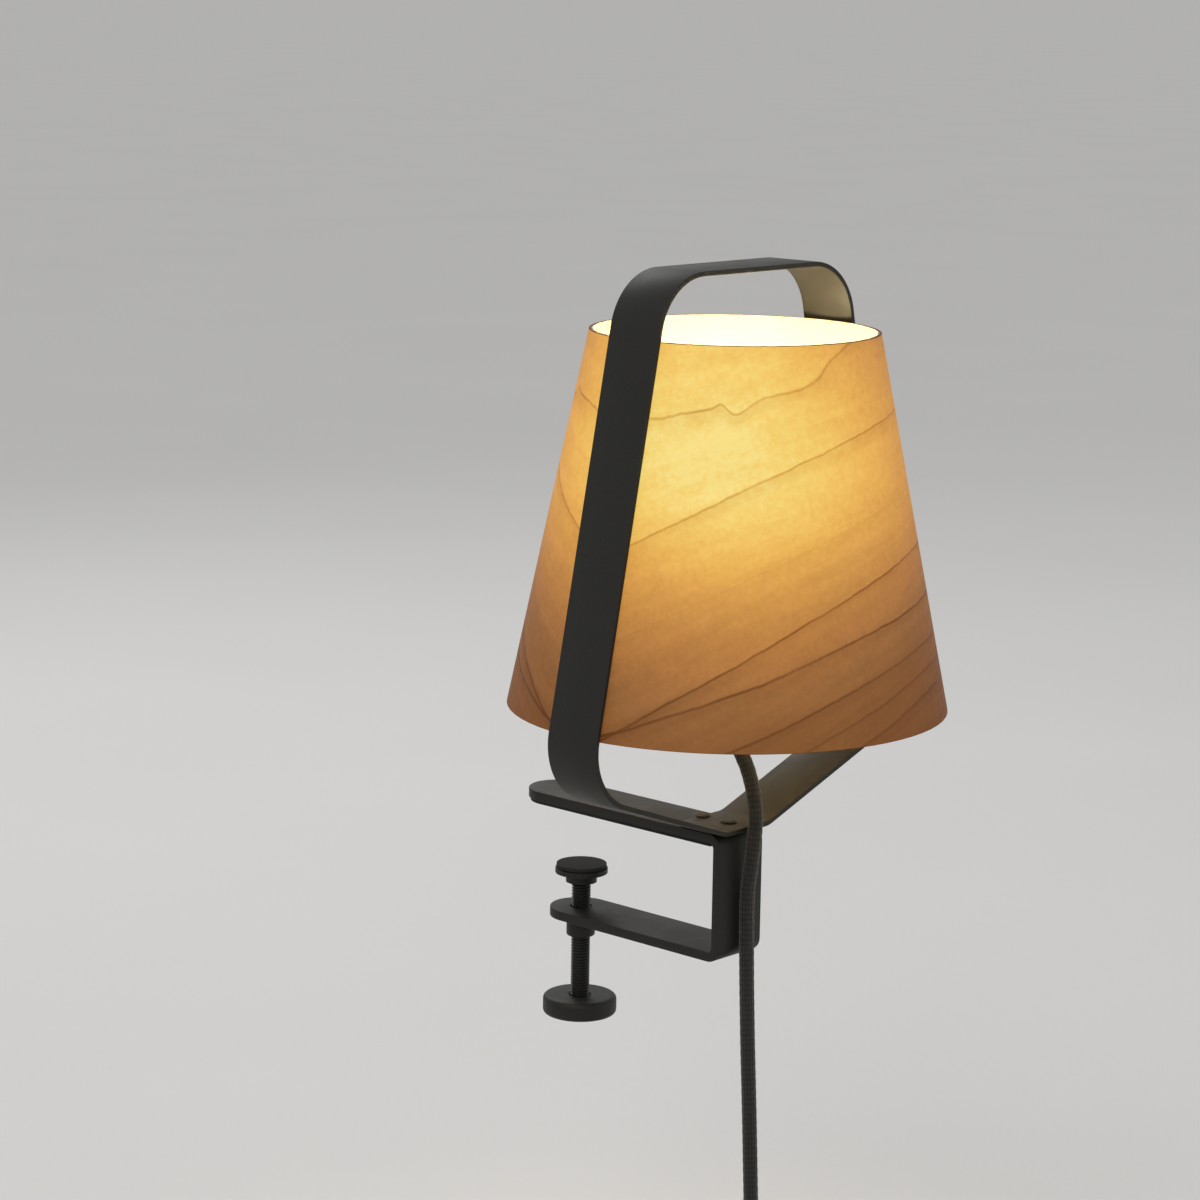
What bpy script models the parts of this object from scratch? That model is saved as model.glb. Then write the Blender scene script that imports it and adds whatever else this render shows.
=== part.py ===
"""Clamp-on reading lamp: a veneer shade in a steel band loop, riveted to a screw clamp.

Units are metres, +Z is up. The origin is where the upper jaw meets the table top, on the clamp
screw's axis. +X runs along the table's front edge and +Y points into the table.
"""

import math

import bmesh
import bpy
from mathutils import Matrix, Vector

# ---------------------------------------------------------------- clearances
GAP = 0.0003            # between pieces that touch or are fixed to each other
RUNNING = 0.00005       # radial clearance of a shaft in its hole

# ---------------------------------------------------------------- clamp
BAR_WIDTH = 0.026
BAR_THICKNESS = 0.004
BAR_BEND = 0.006        # outer radius of the two bends
THROAT = 0.083         # from the screw's axis to the bracket's upright
JAW_HEIGHT = 0.0435     # from the table top to the lower arm's upper face
TOP_ARM_TIP = 0.026     # how far the upper arm reaches past the screw's axis
JAW_PAD = 0.001         # rubber under the upper arm
JAW_PAD_INSET = 0.0008
TABLE = 0.025           # table thickness that the clamp is closed on
THREAD_RADIUS = 0.004
BOSS_RADIUS = 0.006
BOSS_HEIGHT = 0.0082
KNOB_RADIUS = 0.0155
KNOB_HEIGHT = 0.008
KNOB_BELOW_ARM = 0.0345  # from the lower arm's under face to the knob
PAD_RADIUS = 0.011
PAD_RUBBER = 0.0015
PAD_FLANGE = 0.0021
PAD_HUB_RADIUS = 0.0065
PAD_HUB = 0.0040
SCREW_NECK = 0.0025
SCREW_HEAD = 0.0034
SCREW_HEAD_HEIGHT = 0.0016

# ---------------------------------------------------------------- band loop
BAND_OVERHANG = 0.003   # how far the band stands out past the upright
BAND_WIDTH = 0.025
BAND_THICKNESS = 0.002
BAND_CORNER = 0.025     # centreline radius of the four big bends
BAND_SEAT = 0.026       # width of the flat that sits on the clamp
BAND_SEAT_BEND = 0.012
BAND_SLOPE = math.radians(20)
BAND_TOP = 0.0235       # from the shade's upper rim to the underside of the top bar
RIVET_RADIUS = 0.002
RIVET_HEAD = 0.0034
RIVET_HEAD_HEIGHT = 0.0008
RIVET_SPACING = 0.014

# ---------------------------------------------------------------- shade
SHADE_BOTTOM_RADIUS = 0.0875
SHADE_TOP_RADIUS = 0.057
SHADE_HEIGHT = 0.149
SHADE_LIFT = 0.056      # lower rim above the table top
VENEER = 0.0007
LINER = 0.0005
ROUND = 72              # facets around the shade

# ---------------------------------------------------------------- bridge and its fixings
BRIDGE_WIDTH = 0.016
BRIDGE_THICKNESS = 0.002
BRIDGE_BEND = 0.0035
BRIDGE_LIFT = 0.0210     # bridge above the shade's lower rim
STUD_RADIUS = 0.002
NUT_FLATS = 0.007
NUT_HEIGHT = 0.0032
WASHER_RADIUS = 0.0045
WASHER_THICKNESS = 0.0008
STUD_PROUD = 0.0014

# ---------------------------------------------------------------- lampholder and bulb
NIPPLE_RADIUS = 0.005
NIPPLE_BORE = 0.0034
LOCKNUT_FLATS = 0.014
LOCKNUT_HEIGHT = 0.003
GRIP_LENGTH = 0.020
GRIP_TOP_RADIUS = 0.0080
GRIP_TIP_RADIUS = 0.0046
GRIP_SOCKET = 0.009
HOLDER_RADIUS = 0.014
HOLDER_CAP = 0.012
HOLDER_BODY = 0.0277
HOLDER_BORE = 0.0085
INSERT_HEIGHT = 0.004
SHELL_OUTER = 0.0078
SHELL_INNER = 0.00715
BULB_CAP_RADIUS = 0.0068
BULB_CAP_HEIGHT = 0.020
BULB_RADIUS = 0.0225
BULB_COLLAR_TOP = 0.0165
BULB_COLLAR_HEIGHT = 0.012
BULB_WALL = 0.001

# ---------------------------------------------------------------- cord and what is on it
CORD_RADIUS = 0.003
CORD_SPACING = 0.015    # between the points of a cord's tube
FLOOR = -0.275          # surface that the put-away cord lies on
COIL_INNER = 0.026
COIL_OUTER = 0.044
COIL_HEIGHT = 0.0120
TIE_WIDTH = 0.008
TIE_THICKNESS = 0.0008
SWITCH_LENGTH = 0.056
SWITCH_WIDTH = 0.022
SWITCH_NOSE = 0.012     # width of the switch's ends
SWITCH_TAPER = 0.010    # length of its narrowing ends
SWITCH_HALF = 0.008     # height of each shell
SWITCH_WALL = 0.0018
SWITCH_CAVITY = 0.040
ROCKER_AXIS = 0.011     # above the floor
ROCKER_RADIUS = 0.0094
ROCKER_WIDTH = 0.0096
ROCKER_TILT = math.radians(7)
ROCKER_PIN_RADIUS = 0.001
PLUG_RELIEF = 0.022
PLUG_LENGTH = 0.037
PLUG_WIDTH = 0.0335
PLUG_THICKNESS = 0.0137
PIN_RADIUS = 0.002
PIN_LENGTH = 0.019
PIN_SPACING = 0.0186

# ---------------------------------------------------------------- places that follow from them
ARM_UNDER = JAW_PAD + GAP
ARM_TOP = ARM_UNDER + BAR_THICKNESS
BRACKET_OUTER_Y = -(THROAT + BAR_THICKNESS)
LOWER_ARM_TOP = -JAW_HEIGHT
LOWER_ARM_UNDER = LOWER_ARM_TOP - BAR_THICKNESS
HEAD_Y = BRACKET_OUTER_Y + BAND_WIDTH / 2 - BAND_OVERHANG
SEAT_Z = ARM_TOP + GAP + BAND_THICKNESS / 2
SHADE_TOP = SHADE_LIFT + SHADE_HEIGHT
WALL_LEAN = math.atan2(SHADE_BOTTOM_RADIUS - SHADE_TOP_RADIUS, SHADE_HEIGHT)
TOP_BAR_Z = SHADE_TOP + BAND_TOP + BAND_THICKNESS / 2
BRIDGE_Z = SHADE_LIFT + BRIDGE_LIFT
KNOB_TOP = LOWER_ARM_UNDER - KNOB_BELOW_ARM
SHADE_WALL = VENEER + GAP + LINER
STUD_LIFT = WASHER_RADIUS + BRIDGE_THICKNESS + BRIDGE_BEND + 2 * GAP  # above the bridge's under face
BRIDGE_TAB = STUD_LIFT + WASHER_RADIUS + 0.001
HANG_Y = BRACKET_OUTER_Y - CORD_RADIUS - GAP  # the cord's axis where it runs down the clamp
LAY_Y = HANG_Y - 0.0082                       # middle of what lies on the floor
COIL_CENTRE = (-0.052, LAY_Y - 0.016)
SWITCH_CENTRE = (0.064, LAY_Y)
PLUG_START = (0.012, LAY_Y + 0.031)           # where the plug's strain relief begins

DARK_STEEL = (0.022, 0.021, 0.019, 1)
CORD_BLACK = (0.012, 0.012, 0.012, 1)
RUBBER = (0.02, 0.02, 0.02, 1)
ZINC = (0.55, 0.56, 0.58, 1)
BRASS = (0.72, 0.52, 0.24, 1)
NICKEL = (0.62, 0.60, 0.56, 1)
WHITE = (0.86, 0.85, 0.80, 1)
BLACK_PLASTIC = (0.015, 0.015, 0.016, 1)
VENEER_BROWN = (0.62, 0.36, 0.15, 1)


# ---------------------------------------------------------------- scene helpers
def empty_scene():
    for old in list(bpy.data.objects):
        bpy.data.objects.remove(old, do_unlink=True)


def collection(name):
    made = bpy.data.collections.new(name)
    bpy.context.scene.collection.children.link(made)
    return made


def material(name, colour, roughness, metallic=0.0):
    made = bpy.data.materials.new(name)
    made.use_nodes = True
    shader = made.node_tree.nodes["Principled BSDF"]
    shader.inputs["Base Color"].default_value = colour
    shader.inputs["Roughness"].default_value = roughness
    shader.inputs["Metallic"].default_value = metallic
    return made


def painted(name):
    return material(name, DARK_STEEL, 0.55, 0.3)


def place(obj, home):
    home.objects.link(obj)
    return obj


def finish_part(obj, finish, parent=None):
    """Give a part its material, smooth its round faces and hang it under its axis."""
    obj.data.materials.clear()
    obj.data.materials.append(finish)
    obj.data.shade_smooth()
    obj.data.set_sharp_from_angle(angle=math.radians(35))
    if parent is not None:
        obj.parent = parent
        obj.matrix_parent_inverse = parent.matrix_world.inverted()
    return obj


def axis_empty(name, where):
    made = place(bpy.data.objects.new(name, None), PARTS)
    made.location = where
    bpy.context.view_layer.update()
    return made


def new_mesh_object(name, bm, home):
    mesh = bpy.data.meshes.new(name)
    bm.to_mesh(mesh)
    bm.free()
    return place(bpy.data.objects.new(name, mesh), home)


def box(name, low, high, home):
    bm = bmesh.new()
    bmesh.ops.create_cube(bm, size=1)
    low, high = Vector(low), Vector(high)
    size = high - low
    bmesh.ops.scale(bm, vec=size, verts=bm.verts)
    bmesh.ops.translate(bm, vec=(low + high) / 2, verts=bm.verts)
    return new_mesh_object(name, bm, home)


def rod(name, start, end, radius, home, steps=24, end_radius=None):
    """A cylinder, or a cone, between two points."""
    start, end = Vector(start), Vector(end)
    along = end - start
    bm = bmesh.new()
    bmesh.ops.create_cone(
        bm,
        cap_ends=True,
        segments=steps,
        radius1=radius,
        radius2=radius if end_radius is None else end_radius,
        depth=along.length,
    )
    turn = along.to_track_quat("Z", "Y").to_matrix().to_4x4()
    bmesh.ops.transform(bm, matrix=Matrix.Translation((start + end) / 2) @ turn, verts=bm.verts)
    return new_mesh_object(name, bm, home)


def turned(name, profile, centre, home, steps=32, ring=False):
    """Spin a profile of (radius, height) points, listed down its outer side, about the Z axis."""
    bm = bmesh.new()
    points = [bm.verts.new((r, 0, z)) for r, z in profile]
    for a, b in zip(points, points[1:] + points[:1] if ring else points[1:]):
        bm.edges.new((a, b))
    obj = new_mesh_object(name, bm, home)
    obj.location = (centre[0], centre[1], 0)
    screw = obj.modifiers.new("Spin", "SCREW")
    screw.axis = "Z"
    screw.angle = math.tau
    screw.steps = steps
    screw.render_steps = steps
    screw.use_merge_vertices = True
    screw.merge_threshold = 0.00001
    return obj


def sleeve(name, outer, inner, low, high, centre, home, steps=32):
    profile = [(outer, high), (outer, low), (inner, low), (inner, high)]
    return turned(name, profile, centre, home, steps, ring=True)


def solid_outline(name, outlines, thickness, turn, where, home):
    """Extrude closed outlines to a plate of the given thickness; an inner outline is a hole."""
    curve = bpy.data.curves.new(name, "CURVE")
    curve.dimensions = "2D"
    curve.fill_mode = "BOTH"
    curve.extrude = thickness / 2
    for outline in outlines:
        spline = curve.splines.new("POLY")
        spline.points.add(len(outline) - 1)
        for point, (u, v) in zip(spline.points, outline):
            point.co = (u, v, 0, 1)
        spline.use_cyclic_u = True
    obj = place(bpy.data.objects.new(name + "_outline", curve), home)
    obj.rotation_euler = turn
    obj.location = where
    return made_mesh(obj, name, home)


def made_mesh(curve_object, name, home):
    """Replace a curve object with its welded mesh, so that it can be cut."""
    bpy.context.view_layer.update()
    graph = bpy.context.evaluated_depsgraph_get()
    mesh = bpy.data.meshes.new_from_object(curve_object.evaluated_get(graph))
    bm = bmesh.new()
    bm.from_mesh(mesh)
    bmesh.ops.remove_doubles(bm, verts=bm.verts, dist=0.000001)
    bm.to_mesh(mesh)
    bm.free()
    obj = place(bpy.data.objects.new(name, mesh), home)
    obj.matrix_world = curve_object.matrix_world.copy()
    bpy.data.objects.remove(curve_object, do_unlink=True)
    return obj


def as_cutter(obj):
    obj.hide_render = True
    obj.display_type = "WIRE"
    return obj


def combine(target, other, operation="DIFFERENCE"):
    modifier = target.modifiers.new(operation.title(), "BOOLEAN")
    modifier.operation = operation
    modifier.object = as_cutter(other)
    modifier.solver = "EXACT"
    return target


def bevelled(obj, width, segments=2, angle=35):
    bevel = obj.modifiers.new("Rounded edges", "BEVEL")
    bevel.width = width
    bevel.segments = segments
    bevel.limit_method = "ANGLE"
    bevel.angle_limit = math.radians(angle)
    return obj


ACROSS = (math.pi / 2, 0, 0)                 # an outline in X and Z, thick along Y
ALONG = (math.pi / 2, 0, math.pi / 2)        # an outline in Y and Z, thick along X
FLAT = (0, 0, 0)                             # an outline in X and Y, thick along Z


# ---------------------------------------------------------------- outline helpers
def rounded_path(corners, radii, closed, step=math.radians(10)):
    """(point, left normal) pairs along a path whose corners are rounded to the given radii."""
    path = []
    count = len(corners)
    for i, (corner, radius) in enumerate(zip(corners, radii)):
        corner = Vector(corner)
        if not closed and i in (0, count - 1):
            other = Vector(corners[1 if i == 0 else count - 2])
            along = (other - corner if i == 0 else corner - other).normalized()
            path.append((corner, Vector((-along.y, along.x))))
            continue
        before = (corner - Vector(corners[i - 1])).normalized()
        after = (Vector(corners[(i + 1) % count]) - corner).normalized()
        turn = math.atan2(before.x * after.y - before.y * after.x, before.dot(after))
        side = 1 if turn > 0 else -1
        start = corner - before * radius * math.tan(abs(turn) / 2)
        normal = Vector((-before.y, before.x))
        centre = start + normal * side * radius
        pieces = max(2, math.ceil(abs(turn) / step))
        for k in range(pieces + 1):
            spun = Matrix.Rotation(turn * k / pieces, 2) @ normal
            path.append((centre - spun * side * radius, spun))
    return path


def strip(path, thickness, closed):
    """Outlines of a strip of even thickness that follows a path."""
    left = [tuple(p + n * thickness / 2) for p, n in path]
    right = [tuple(p - n * thickness / 2) for p, n in path]
    if closed:
        return [left, right]
    return [left + right[::-1]]


def wall_radius(z):
    """The shade's outer radius at a height."""
    return SHADE_BOTTOM_RADIUS - (z - SHADE_LIFT) * math.tan(WALL_LEAN)


def hexagon(flats):
    reach = flats / math.sqrt(3)
    return [(reach * math.cos(math.tau * k / 6), reach * math.sin(math.tau * k / 6)) for k in range(6)]


# ---------------------------------------------------------------- clamp
def clamp_bracket():
    middle = BAR_THICKNESS / 2
    corners = [
        (TOP_ARM_TIP, ARM_UNDER + middle),
        (BRACKET_OUTER_Y + middle, ARM_UNDER + middle),
        (BRACKET_OUTER_Y + middle, LOWER_ARM_UNDER + middle),
        (BAR_WIDTH / 2 + 0.0005, LOWER_ARM_UNDER + middle),
    ]
    bend = BAR_BEND - middle
    path = rounded_path(corners, [0, bend, bend, 0], closed=False, step=math.radians(15))
    side_view = strip(path, BAR_THICKNESS, False)
    bracket = solid_outline("clamp_bracket", side_view, BAR_WIDTH, ALONG, (0, 0, 0), PARTS)
    combine(bracket, end_rounder("top_arm_end", TOP_ARM_TIP - BAR_WIDTH / 2, ARM_UNDER, BAR_WIDTH / 2))
    combine(bracket, end_rounder("lower_arm_end", 0, LOWER_ARM_UNDER, BAR_WIDTH / 2))
    hole = THREAD_RADIUS + 2 * GAP
    hole_ends = (0, 0, LOWER_ARM_UNDER - hole), (0, 0, LOWER_ARM_TOP + hole)
    combine(bracket, rod("screw_hole", *hole_ends, hole, CUTTERS))
    for k, y in enumerate(rivet_places()):
        cut_rivet_hole(bracket, f"arm_rivet_hole_{k}", y)
    return finish_part(bracket, painted("clamp_steel"))


def end_rounder(name, centre_y, bottom, radius):
    """What is cut away to round an arm's end to a half circle."""
    past = 0.003
    turns = [math.pi * k / 16 for k in range(17)]
    arc = [(radius * math.cos(a), centre_y + radius * math.sin(a)) for a in turns]
    outline = [(radius + past, centre_y)] + arc + [(-radius - past, centre_y)]
    outline += [(-radius - past, centre_y + radius + past), (radius + past, centre_y + radius + past)]
    height = BAR_THICKNESS + 2 * past
    return solid_outline(name, [outline], height, FLAT, (0, 0, bottom + BAR_THICKNESS / 2), CUTTERS)


def rivet_places():
    """Midway between the bracket's bend and the band's inner edge."""
    middle = (BRACKET_OUTER_Y + BAR_BEND + HEAD_Y + BAND_WIDTH / 2) / 2
    return [middle - RIVET_SPACING / 2, middle + RIVET_SPACING / 2]


def cut_rivet_hole(target, name, y):
    """A straight hole through band and arm, with a countersink in the arm's under face."""
    low, high = ARM_UNDER - RIVET_HEAD, SEAT_Z + RIVET_HEAD
    sink = RIVET_HEAD + GAP
    flare = sink - RIVET_RADIUS - GAP
    profile = [
        (0, high),
        (RIVET_RADIUS + GAP, high),
        (RIVET_RADIUS + GAP, ARM_UNDER + flare),
        (sink, ARM_UNDER),
        (sink, low),
        (0, low),
    ]
    combine(target, turned(name, profile, (0, y), CUTTERS, 24))


def band_rivet(number, y):
    top = SEAT_Z + BAND_THICKNESS / 2 + GAP
    flare = RIVET_HEAD - RIVET_RADIUS
    profile = [
        (0, top + RIVET_HEAD_HEIGHT),
        (RIVET_HEAD * 0.6, top + RIVET_HEAD_HEIGHT),
        (RIVET_HEAD, top + RIVET_HEAD_HEIGHT * 0.35),
        (RIVET_HEAD, top),
        (RIVET_RADIUS, top),
        (RIVET_RADIUS, ARM_UNDER + flare),
        (RIVET_HEAD, ARM_UNDER),
        (0, ARM_UNDER),
    ]
    return finish_part(turned(f"band_rivet_{number}", profile, (0, y), PARTS, 24), painted("rivet_steel"))


def jaw_pad():
    radius = BAR_WIDTH / 2 - JAW_PAD_INSET
    tip = TOP_ARM_TIP - BAR_WIDTH / 2
    back = BRACKET_OUTER_Y + BAR_BEND
    turns = [math.pi * k / 16 for k in range(17)]
    arc = [(radius * math.cos(a), tip + radius * math.sin(a)) for a in turns]
    outline = arc + [(-radius, back), (radius, back)]
    pad = solid_outline("jaw_pad", [outline], JAW_PAD, FLAT, (0, 0, JAW_PAD / 2), PARTS)
    return finish_part(pad, material("jaw_rubber", RUBBER, 0.9))


def thread_boss():
    top = LOWER_ARM_UNDER - GAP
    bore = THREAD_RADIUS + RUNNING
    profile = [
        (BOSS_RADIUS, top),
        (BOSS_RADIUS, top - BOSS_HEIGHT + 0.0006),
        (BOSS_RADIUS - 0.0006, top - BOSS_HEIGHT),
        (bore, top - BOSS_HEIGHT),
        (bore, top),
    ]
    boss = turned("thread_boss", profile, (0, 0), PARTS, 32, ring=True)
    return finish_part(boss, painted("boss_steel"))


def pressure_pad(axis):
    """The swivelling foot of the clamp screw, closed over the screw's head."""
    top = -TABLE - PAD_RUBBER - GAP
    under = top - PAD_FLANGE
    hub = under - PAD_HUB
    room = SCREW_HEAD + GAP
    ceiling = under - GAP / 2
    lip = ceiling - SCREW_HEAD_HEIGHT - 2 * GAP
    profile = [
        (0, top),
        (PAD_RADIUS, top),
        (PAD_RADIUS, under),
        (PAD_HUB_RADIUS, under),
        (PAD_HUB_RADIUS, hub),
        (SCREW_NECK + RUNNING, hub),
        (SCREW_NECK + RUNNING, lip),
        (room, lip),
        (room, ceiling),
        (0, ceiling),
    ]
    pad = turned("pressure_pad", profile, (0, 0), PARTS, 32)
    finish_part(pad, painted("pad_steel"), axis)
    edge = PAD_RADIUS - 0.0005
    low = -TABLE - PAD_RUBBER
    face = turned(
        "pressure_pad_face", [(0, -TABLE), (edge, -TABLE), (edge, low), (0, low)], (0, 0), PARTS, 32
    )
    finish_part(face, material("pad_rubber", RUBBER, 0.9), axis)
    return ceiling, hub


def clamp_screw(axis, ceiling, hub):
    head_top = ceiling - GAP
    head_under = head_top - SCREW_HEAD_HEIGHT
    shoulder = hub - GAP
    bottom = KNOB_TOP - KNOB_HEIGHT + GAP
    profile = [
        (0, head_top),
        (SCREW_HEAD, head_top),
        (SCREW_HEAD, head_under),
        (SCREW_NECK, head_under),
        (SCREW_NECK, shoulder),
        (THREAD_RADIUS - 0.0005, shoulder),
        (THREAD_RADIUS, shoulder - 0.0005),
        (THREAD_RADIUS, bottom),
        (0, bottom),
    ]
    return finish_part(turned("clamp_screw", profile, (0, 0), PARTS, 32), painted("screw_steel"), axis)


def clamp_knob(axis):
    edge = 0.0016
    under = KNOB_TOP - KNOB_HEIGHT
    bore = THREAD_RADIUS + GAP
    profile = [(bore, KNOB_TOP)]
    for k in range(4):
        turn = math.pi / 6 * k
        profile.append((KNOB_RADIUS - edge + edge * math.sin(turn), KNOB_TOP - edge + edge * math.cos(turn)))
    for k in range(4):
        turn = math.pi / 6 * k
        profile.append((KNOB_RADIUS - edge + edge * math.cos(turn), under + edge - edge * math.sin(turn)))
    profile.append((bore, under))
    disc = turned("clamp_knob", profile, (0, 0), PARTS, 40, ring=True)
    return finish_part(disc, painted("knob_steel"), axis)


# ---------------------------------------------------------------- band loop
def band_corners():
    """Corners of the band's centreline in X and Z, anticlockwise from the seat's left end."""
    clear = (GAP + BAND_THICKNESS / 2) / math.cos(WALL_LEAN)
    lean, slope = math.tan(WALL_LEAN), math.tan(BAND_SLOPE)
    top_x = wall_radius(TOP_BAR_Z) + clear
    seat = BAND_SEAT / 2
    foot_z = wall_radius(SEAT_Z) + clear
    corner_x = (foot_z + lean * seat * slope) / (1 + lean * slope)
    corner_z = SEAT_Z + (corner_x - seat) * slope
    right = [(seat, SEAT_Z), (corner_x, corner_z), (top_x, TOP_BAR_Z)]
    return [(-x, z) for x, z in right[:1]] + right + [(-x, z) for x, z in right[:0:-1]]


def band_frame():
    corners = band_corners()
    radii = [BAND_SEAT_BEND, BAND_SEAT_BEND] + [BAND_CORNER] * 4
    path = rounded_path(corners, radii, closed=True)
    outlines = strip(path, BAND_THICKNESS, True)
    band = solid_outline("band_frame", outlines, BAND_WIDTH, ACROSS, (0, HEAD_Y, 0), PARTS)
    for k, y in enumerate(rivet_places()):
        cut_rivet_hole(band, f"band_rivet_hole_{k}", y)
    return finish_part(band, painted("band_steel"))


# ---------------------------------------------------------------- shade
def shade():
    cos = math.cos(WALL_LEAN)
    veneer = shell_wall("shade_veneer", 0, VENEER / cos)
    liner = shell_wall("shade_liner", (VENEER + GAP) / cos, SHADE_WALL / cos)
    for side in (-1, 1):
        name = "left" if side < 0 else "right"
        start, along = stud_line(side)
        hole = rod(
            f"stud_hole_{name}",
            start - along * 0.006,
            start + along * 0.006,
            STUD_RADIUS + GAP,
            CUTTERS,
            16,
        )
        combine(veneer, hole)
        combine(liner, hole)
    finish_part(veneer, material("veneer", VENEER_BROWN, 0.5))
    finish_part(liner, material("liner", WHITE, 0.6))


def shell_wall(name, outer_inset, inner_inset):
    profile = [
        (SHADE_TOP_RADIUS - outer_inset, SHADE_TOP),
        (SHADE_BOTTOM_RADIUS - outer_inset, SHADE_LIFT),
        (SHADE_BOTTOM_RADIUS - inner_inset, SHADE_LIFT),
        (SHADE_TOP_RADIUS - inner_inset, SHADE_TOP),
    ]
    return turned(name, profile, (0, HEAD_Y), PARTS, ROUND, ring=True)


# ---------------------------------------------------------------- bridge across the shade
def stud_line(side):
    """Where a stud's axis meets the band's inner face, and its inward direction."""
    z = BRIDGE_Z + STUD_LIFT
    start = Vector((side * wall_radius(z), HEAD_Y, z))
    along = Vector((-side * math.cos(WALL_LEAN), 0, -math.sin(WALL_LEAN)))
    return start, along


def tab_gap():
    """How far a flat tab stands off the curved liner so that its edges clear it."""
    radius = wall_radius(BRIDGE_Z + BRIDGE_TAB) - SHADE_WALL
    return radius - math.sqrt(radius**2 - (BRIDGE_WIDTH / 2) ** 2) + GAP


def bridge():
    inset = (SHADE_WALL + tab_gap() + BRIDGE_THICKNESS / 2) / math.cos(WALL_LEAN)
    middle = BRIDGE_Z + BRIDGE_THICKNESS / 2
    top = middle + BRIDGE_TAB
    right = [(wall_radius(middle) - inset, middle), (wall_radius(top) - inset, top)]
    corners = [(-x, z) for x, z in right[::-1]] + right
    path = rounded_path(corners, [0, BRIDGE_BEND, BRIDGE_BEND, 0], closed=False, step=math.radians(20))
    outlines = strip(path, BRIDGE_THICKNESS, False)
    piece = solid_outline("lamp_bridge", outlines, BRIDGE_WIDTH, ACROSS, (0, HEAD_Y, 0), PARTS)
    hole_ends = (0, HEAD_Y, BRIDGE_Z - 0.004), (0, HEAD_Y, BRIDGE_Z + 0.006)
    combine(piece, rod("nipple_hole", *hole_ends, NIPPLE_RADIUS + GAP, CUTTERS))
    for side in (-1, 1):
        start, along = stud_line(side)
        combine(
            piece,
            rod(f"tab_hole_{side + 1}", start, start + along * 0.008, STUD_RADIUS + GAP, CUTTERS, 16),
        )
    finish_part(piece, material("bridge_zinc", ZINC, 0.4, 1.0))


def bridge_fixing(side):
    """A stud welded to the band, with its washer and nut inside the shade."""
    name = "left" if side < 0 else "right"
    start, along = stud_line(side)
    washer_at = SHADE_WALL + tab_gap() + BRIDGE_THICKNESS + GAP
    nut_at = washer_at + WASHER_THICKNESS + GAP
    end = nut_at + NUT_HEIGHT + STUD_PROUD
    stud = rod(f"bridge_stud_{name}", start, start + along * end, STUD_RADIUS, PARTS, 16)
    finish_part(stud, material(f"stud_{name}_steel", ZINC, 0.35, 1.0))
    washer = rod(
        f"bridge_washer_{name}",
        start + along * washer_at,
        start + along * (washer_at + WASHER_THICKNESS),
        WASHER_RADIUS,
        PARTS,
        24,
    )
    combine(washer, stud_clearance(f"washer_bore_{name}", start, along, end))
    finish_part(washer, material(f"washer_{name}_steel", ZINC, 0.4, 1.0))
    nut = solid_outline(f"bridge_nut_{name}", [hexagon(NUT_FLATS)], NUT_HEIGHT, FLAT, (0, 0, 0), PARTS)
    turn = along.to_track_quat("Z", "Y").to_matrix().to_4x4()
    nut.matrix_world = Matrix.Translation(start + along * (nut_at + NUT_HEIGHT / 2)) @ turn
    combine(nut, stud_clearance(f"nut_bore_{name}", start, along, end))
    finish_part(nut, material(f"nut_{name}_steel", ZINC, 0.35, 1.0))


def stud_clearance(name, start, along, length):
    return rod(name, start, start + along * (length + 0.003), STUD_RADIUS + GAP, CUTTERS, 16)


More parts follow.
